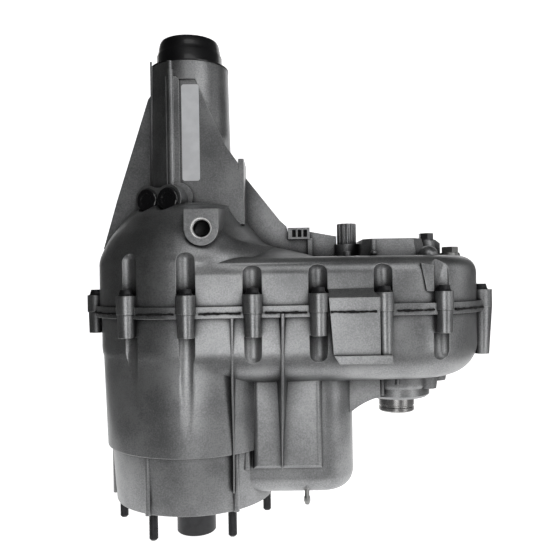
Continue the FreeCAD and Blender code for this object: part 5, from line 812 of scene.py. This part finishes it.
    def helix(self, radius: float, depth: float, pitch: float, length: float, around: int) -> np.ndarray:
        """A thread about the Z axis: its radius is a triangle wave of height less turn, one wave a pitch.

        Args:
            radius: the crest radius.
            depth: how deep the groove is.
            pitch: the height of one turn.
            length: the threaded length, from 0 down.
            around: points in a turn.

        Returns:
            Rows by columns by three, in millimetres.
        """
        turn = self.ring_angles(around)
        height = np.arange(0.0, length, pitch / self.pitch_steps)
        along, angle = np.meshgrid(height, turn, indexing="ij")
        wave = np.abs(((along / pitch - angle / (2 * math.pi)) % 1.0) - 0.5) * 2
        fade = np.clip(np.minimum(along / pitch, (length - along) / pitch), 0, 1)
        r = radius - depth * np.clip(self.flank * wave - self.flank_low, 0, 1) * fade
        return np.stack([r * np.cos(angle), r * np.sin(angle), -along], axis=-1)

    def fill_thread(self) -> Skin:
        """The fill port's inner thread."""
        crest = self.fill_bore - self.skin_gap
        grid = self.helix(crest, self.thread_depth, self.thread_pitch, self.thread_length, self.fill_around)
        start = self.fill_face + self.seat_depth + self.thread_start
        x = self.fill_x + grid[..., 0]
        y = start - grid[..., 2]
        z = self.fill_height + grid[..., 1]
        return Skin("fill_thread", np.stack([x, y, z], axis=-1) * MM)

    def threaded_studs(self) -> Skin:
        """The six studs, with rolled threads and bevelled tips, and a plain root inside the flange."""
        length = self.stud_proud - self.thread_end
        grid = self.helix(self.stud_radius, self.stud_thread, self.stud_pitch, length, self.stud_around)
        turn = self.ring_angles(self.stud_around)
        root = [(self.middle, -self.stud_depth), (self.stud_root, -self.stud_depth), (self.stud_root, 0.0)]
        tip = [
            (self.stud_radius - self.tip_shoulder, self.stud_proud - self.tip_bevel),
            (self.stud_radius - self.tip_bevel, self.stud_proud),
            (self.middle, self.stud_proud),
        ]
        ends = [
            [np.stack([r * np.cos(turn), r * np.sin(turn), np.full_like(turn, -d)], axis=1) for r, d in group]
            for group in (root, tip)
        ]
        one = np.concatenate([np.array(ends[0]), grid, np.array(ends[1])])
        skins = []
        for k in range(self.stud_count):
            angle = math.radians(self.stud_turn + 360 * k / self.stud_count)
            place = np.array([self.stud_circle * math.cos(angle), self.stud_circle * math.sin(angle), 0.0])
            skins.append(Skin("stud", (one + place) * MM))
        return Skin.merged("threaded_studs", skins)

    def build(self, dresser: Dresser) -> None:
        """Draws and shows each fine form."""
        dresser.show(self.sealant_bead(), self.sealant, "joint_sealant", True)
        dresser.show(self.fill_seat_ring(), self.bright, "rear_case", False, 25.0)
        dresser.show(self.fill_thread(), self.tapped, "rear_case", False)
        dresser.show(self.threaded_studs(), self.phosphate, "input_studs", True)


@dataclass
class Inside:
    """The gears, clutches, chain, pump and shift parts inside the case."""

    gear: MetalFinish = MetalFinish("ground_gear_steel", (0.42, 0.42, 0.43), 0.3)
    sintered: MetalFinish = MetalFinish("sintered_steel", (0.3, 0.3, 0.31), 0.5)
    bearing: MetalFinish = MetalFinish("bearing_steel", (0.62, 0.62, 0.63), 0.18)
    chain: MetalFinish = MetalFinish("oiled_chain", (0.2, 0.2, 0.21), 0.32)
    bronze: MetalFinish = MetalFinish("bronze", (0.55, 0.38, 0.2), 0.35)
    alloy: MetalFinish = MetalFinish("fork_alloy", (0.5, 0.5, 0.51), 0.45)
    spring: MetalFinish = MetalFinish("blued_spring", (0.12, 0.13, 0.16), 0.35)
    plastic: SoftFinish = SoftFinish("black_nylon", (0.02, 0.02, 0.02), 0.5)
    turned: TurnedFinish = TurnedFinish("turned_shaft", (0.5, 0.5, 0.5), 0.3)

    def build(self, dresser: Dresser) -> None:
        """Dresses every inner piece."""
        groups = {
            self.gear: (
                "ring_gear", "planet_gear_1", "planet_gear_2", "planet_gear_3", "planet_gear_4",
                "range_sleeve", "mode_hub", "mode_sleeve", "drive_sprocket", "driven_sprocket", "pump_rotor",
            ),
            self.sintered: ("planet_carrier", "tone_wheel", "sector_shaft", "sump_magnet"),
            self.bearing: (
                "input_bearing", "pilot_bearing", "sprocket_bearing", "output_bearing",
                "output_needle_bearing", "rear_bearing", "planet_pins", "dowel_pins", "pump_cover",
            ),
            self.chain: ("drive_chain",),
            self.bronze: ("thrust_washers", "tail_bushing"),
            self.alloy: ("bearing_retainer", "range_fork", "mode_fork", "pump_housing"),
            self.spring: (
                "mode_spring", "ring_snap_ring", "rear_snap_ring", "sprocket_snap_ring", "rail_collar",
            ),
            self.plastic: ("pickup_tube",),
            self.turned: ("mainshaft", "shift_rail", "retainer_bolts"),
        }
        for finish, nodes in groups.items():
            for node in nodes:
                dresser.dress(node, finish, Smoothing.TURNED)


@dataclass
class Studio:
    """A pale floor that curves up behind, soft lights and the camera, in metres."""

    floor_height: float = -0.0505
    paper: float = 0.8
    back: float = 1.6
    half_width: float = 4.0
    front: float = -1.0
    wall_height: float = 3.0
    curve: float = 0.8
    window_margin: float = 0.25
    window_front: float = -0.1
    window_fade: float = 0.15
    window_top: float = 1.4
    window_top_fade: float = 0.5
    glow: float = 1.02
    room: tuple = ((0.0, 0.03), (0.19, 0.02), (0.36, 0.12), (0.525, 0.15), (0.675, 0.03), (1.0, 0.07))
    aim: tuple = (0.2, 0.0, 0.25)
    lamps: tuple = (
        ("low_middle", (0.1, -0.95, 0.1), (0.4, 0.4), 1.75),
        ("low_right", (0.95, -0.65, 0.02), (0.4, 0.25), 1.0),
        ("key", (0.85, -0.85, 0.62), (0.5, 0.7), 2.3),
        ("high_front", (0.25, -0.8, 1.0), (0.8, 0.4), 1.4),
        ("right", (1.3, -0.1, 0.5), (0.5, 0.7), 1.0),
    )
    camera_place: tuple = (0.107, -0.775, 0.2546)
    focal_pixels: float = 630.0
    picture_pixels: float = 560.0
    sensor: float = 36.0
    roll: float = 0.9

    def backdrop(self) -> None:
        """Builds the floor and wall: a straight run, a quarter circle and a straight rise, swept sideways."""
        turn = np.linspace(0.0, math.pi / 2, 25)
        bend = self.back - self.curve + self.curve * np.sin(turn)
        along = np.concatenate([[self.front], bend, [self.back]])
        up = np.concatenate([[0.0], self.curve * (1 - np.cos(turn)), [self.wall_height]])
        side = np.linspace(-self.half_width, self.half_width, 3)
        grid_x, grid_s = np.meshgrid(side, np.arange(along.size), indexing="ij")
        points = np.stack([grid_x, along[grid_s], up[grid_s] + self.floor_height], axis=-1).reshape(-1, 3)
        rows, columns = grid_x.shape
        index = np.arange(rows * columns).reshape(rows, columns)
        corners = [index[:-1, :-1], index[1:, :-1], index[1:, 1:], index[:-1, 1:]]
        faces = np.stack(corners, axis=-1).reshape(-1, 4)
        mesh = bpy.data.meshes.new("backdrop")
        mesh.from_pydata(points.tolist(), [], faces.tolist())
        mesh.shade_smooth()
        mesh.materials.append(self.pale_paper())
        piece = bpy.data.objects.new("backdrop", mesh)
        bpy.context.scene.collection.objects.link(piece)

    def pale_paper(self) -> Any:
        """The backdrop's material: it glows in a wedge behind the object and fades to the front and sides."""
        sheet = NodeSheet("pale_backdrop")
        x, y, z = sheet.split(sheet.place())
        reach = (y - self.camera_place[1]) * (0.5 * self.picture_pixels / self.focal_pixels)
        side = 1.0 - ((x - self.camera_place[0]).size() - reach).step(0.0, self.window_margin)
        behind = y.step(self.window_front - self.window_fade, self.window_front)
        low = 1.0 - z.step(self.window_top, self.window_top + self.window_top_fade)
        glow = sheet.mix(side * behind * low, (0.0, 0.0, 0.0), (1.0, 1.0, 1.0))
        return sheet.surface(
            Base_Color=(self.paper,) * 3, Roughness=0.9, Emission_Color=glow, Emission_Strength=self.glow
        )

    def area(self, name: str, place: tuple, size: tuple, power: float) -> None:
        """Adds a soft rectangular light that faces the object.

        Args:
            name: the light's name.
            place: where it stands.
            size: its width and height in metres.
            power: watts.
        """
        data = bpy.data.lights.new(name, "AREA")
        data.shape = "RECTANGLE"
        data.size, data.size_y = size
        data.energy = power
        light = bpy.data.objects.new(name, data)
        light.location = place
        light.rotation_euler = (Vector(self.aim) - Vector(place)).to_track_quat("-Z", "Y").to_euler()
        bpy.context.scene.collection.objects.link(light)

    def lights(self) -> None:
        """Low, high and side lights round the front, with a soft key from the right."""
        for lamp in self.lamps:
            self.area(*lamp)

    def dim_room(self) -> None:
        """The room's light, which changes from left to right and is brightest in front of the object."""
        world = bpy.data.worlds.new("room")
        world.use_nodes = True
        tree = world.node_tree
        shade = tree.nodes["Background"]
        where = tree.nodes.new("ShaderNodeTexCoord")
        parts = tree.nodes.new("ShaderNodeSeparateXYZ")
        ramp = tree.nodes.new("ShaderNodeValToRGB")
        side = tree.nodes.new("ShaderNodeMapRange")
        side.inputs["From Min"].default_value = -1.0
        tree.links.new(where.outputs["Generated"], parts.inputs[0])
        tree.links.new(parts.outputs[0], side.inputs[0])
        tree.links.new(side.outputs[0], ramp.inputs[0])
        tree.links.new(ramp.outputs[0], shade.inputs[0])
        NodeSheet.set_stops(ramp, [(place, (level,) * 3) for place, level in self.room])
        bpy.context.scene.world = world

    def camera(self) -> None:
        """Sets the camera where the photograph was taken from, level and turned by its small roll."""
        data = bpy.data.cameras.new("camera")
        data.sensor_width = self.sensor
        data.lens = self.sensor * self.focal_pixels / self.picture_pixels
        data.clip_end = 20.0
        cam = bpy.data.objects.new("camera", data)
        cam.location = self.camera_place
        cam.rotation_euler = (math.radians(90), 0.0, 0.0)
        cam.rotation_euler.rotate_axis("Z", math.radians(-self.roll))
        bpy.context.scene.collection.objects.link(cam)
        bpy.context.scene.camera = cam

    def build(self) -> None:
        """Sets the stage."""
        self.backdrop()
        self.lights()
        self.dim_room()
        self.camera()
        bpy.context.scene.view_settings.view_transform = "Standard"


def main() -> None:
    """Dresses the object and sets the stage."""
    logging.basicConfig(level=logging.INFO, format="%(name)s: %(message)s")
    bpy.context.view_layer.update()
    dresser = Dresser()
    for group in (Housing(), Ends(), Trim(), Inside()):
        group.build(dresser)
        LOG.info("%s done", type(group).__name__)
    Studio().build()
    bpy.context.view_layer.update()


if __name__ == "__main__":
    main()
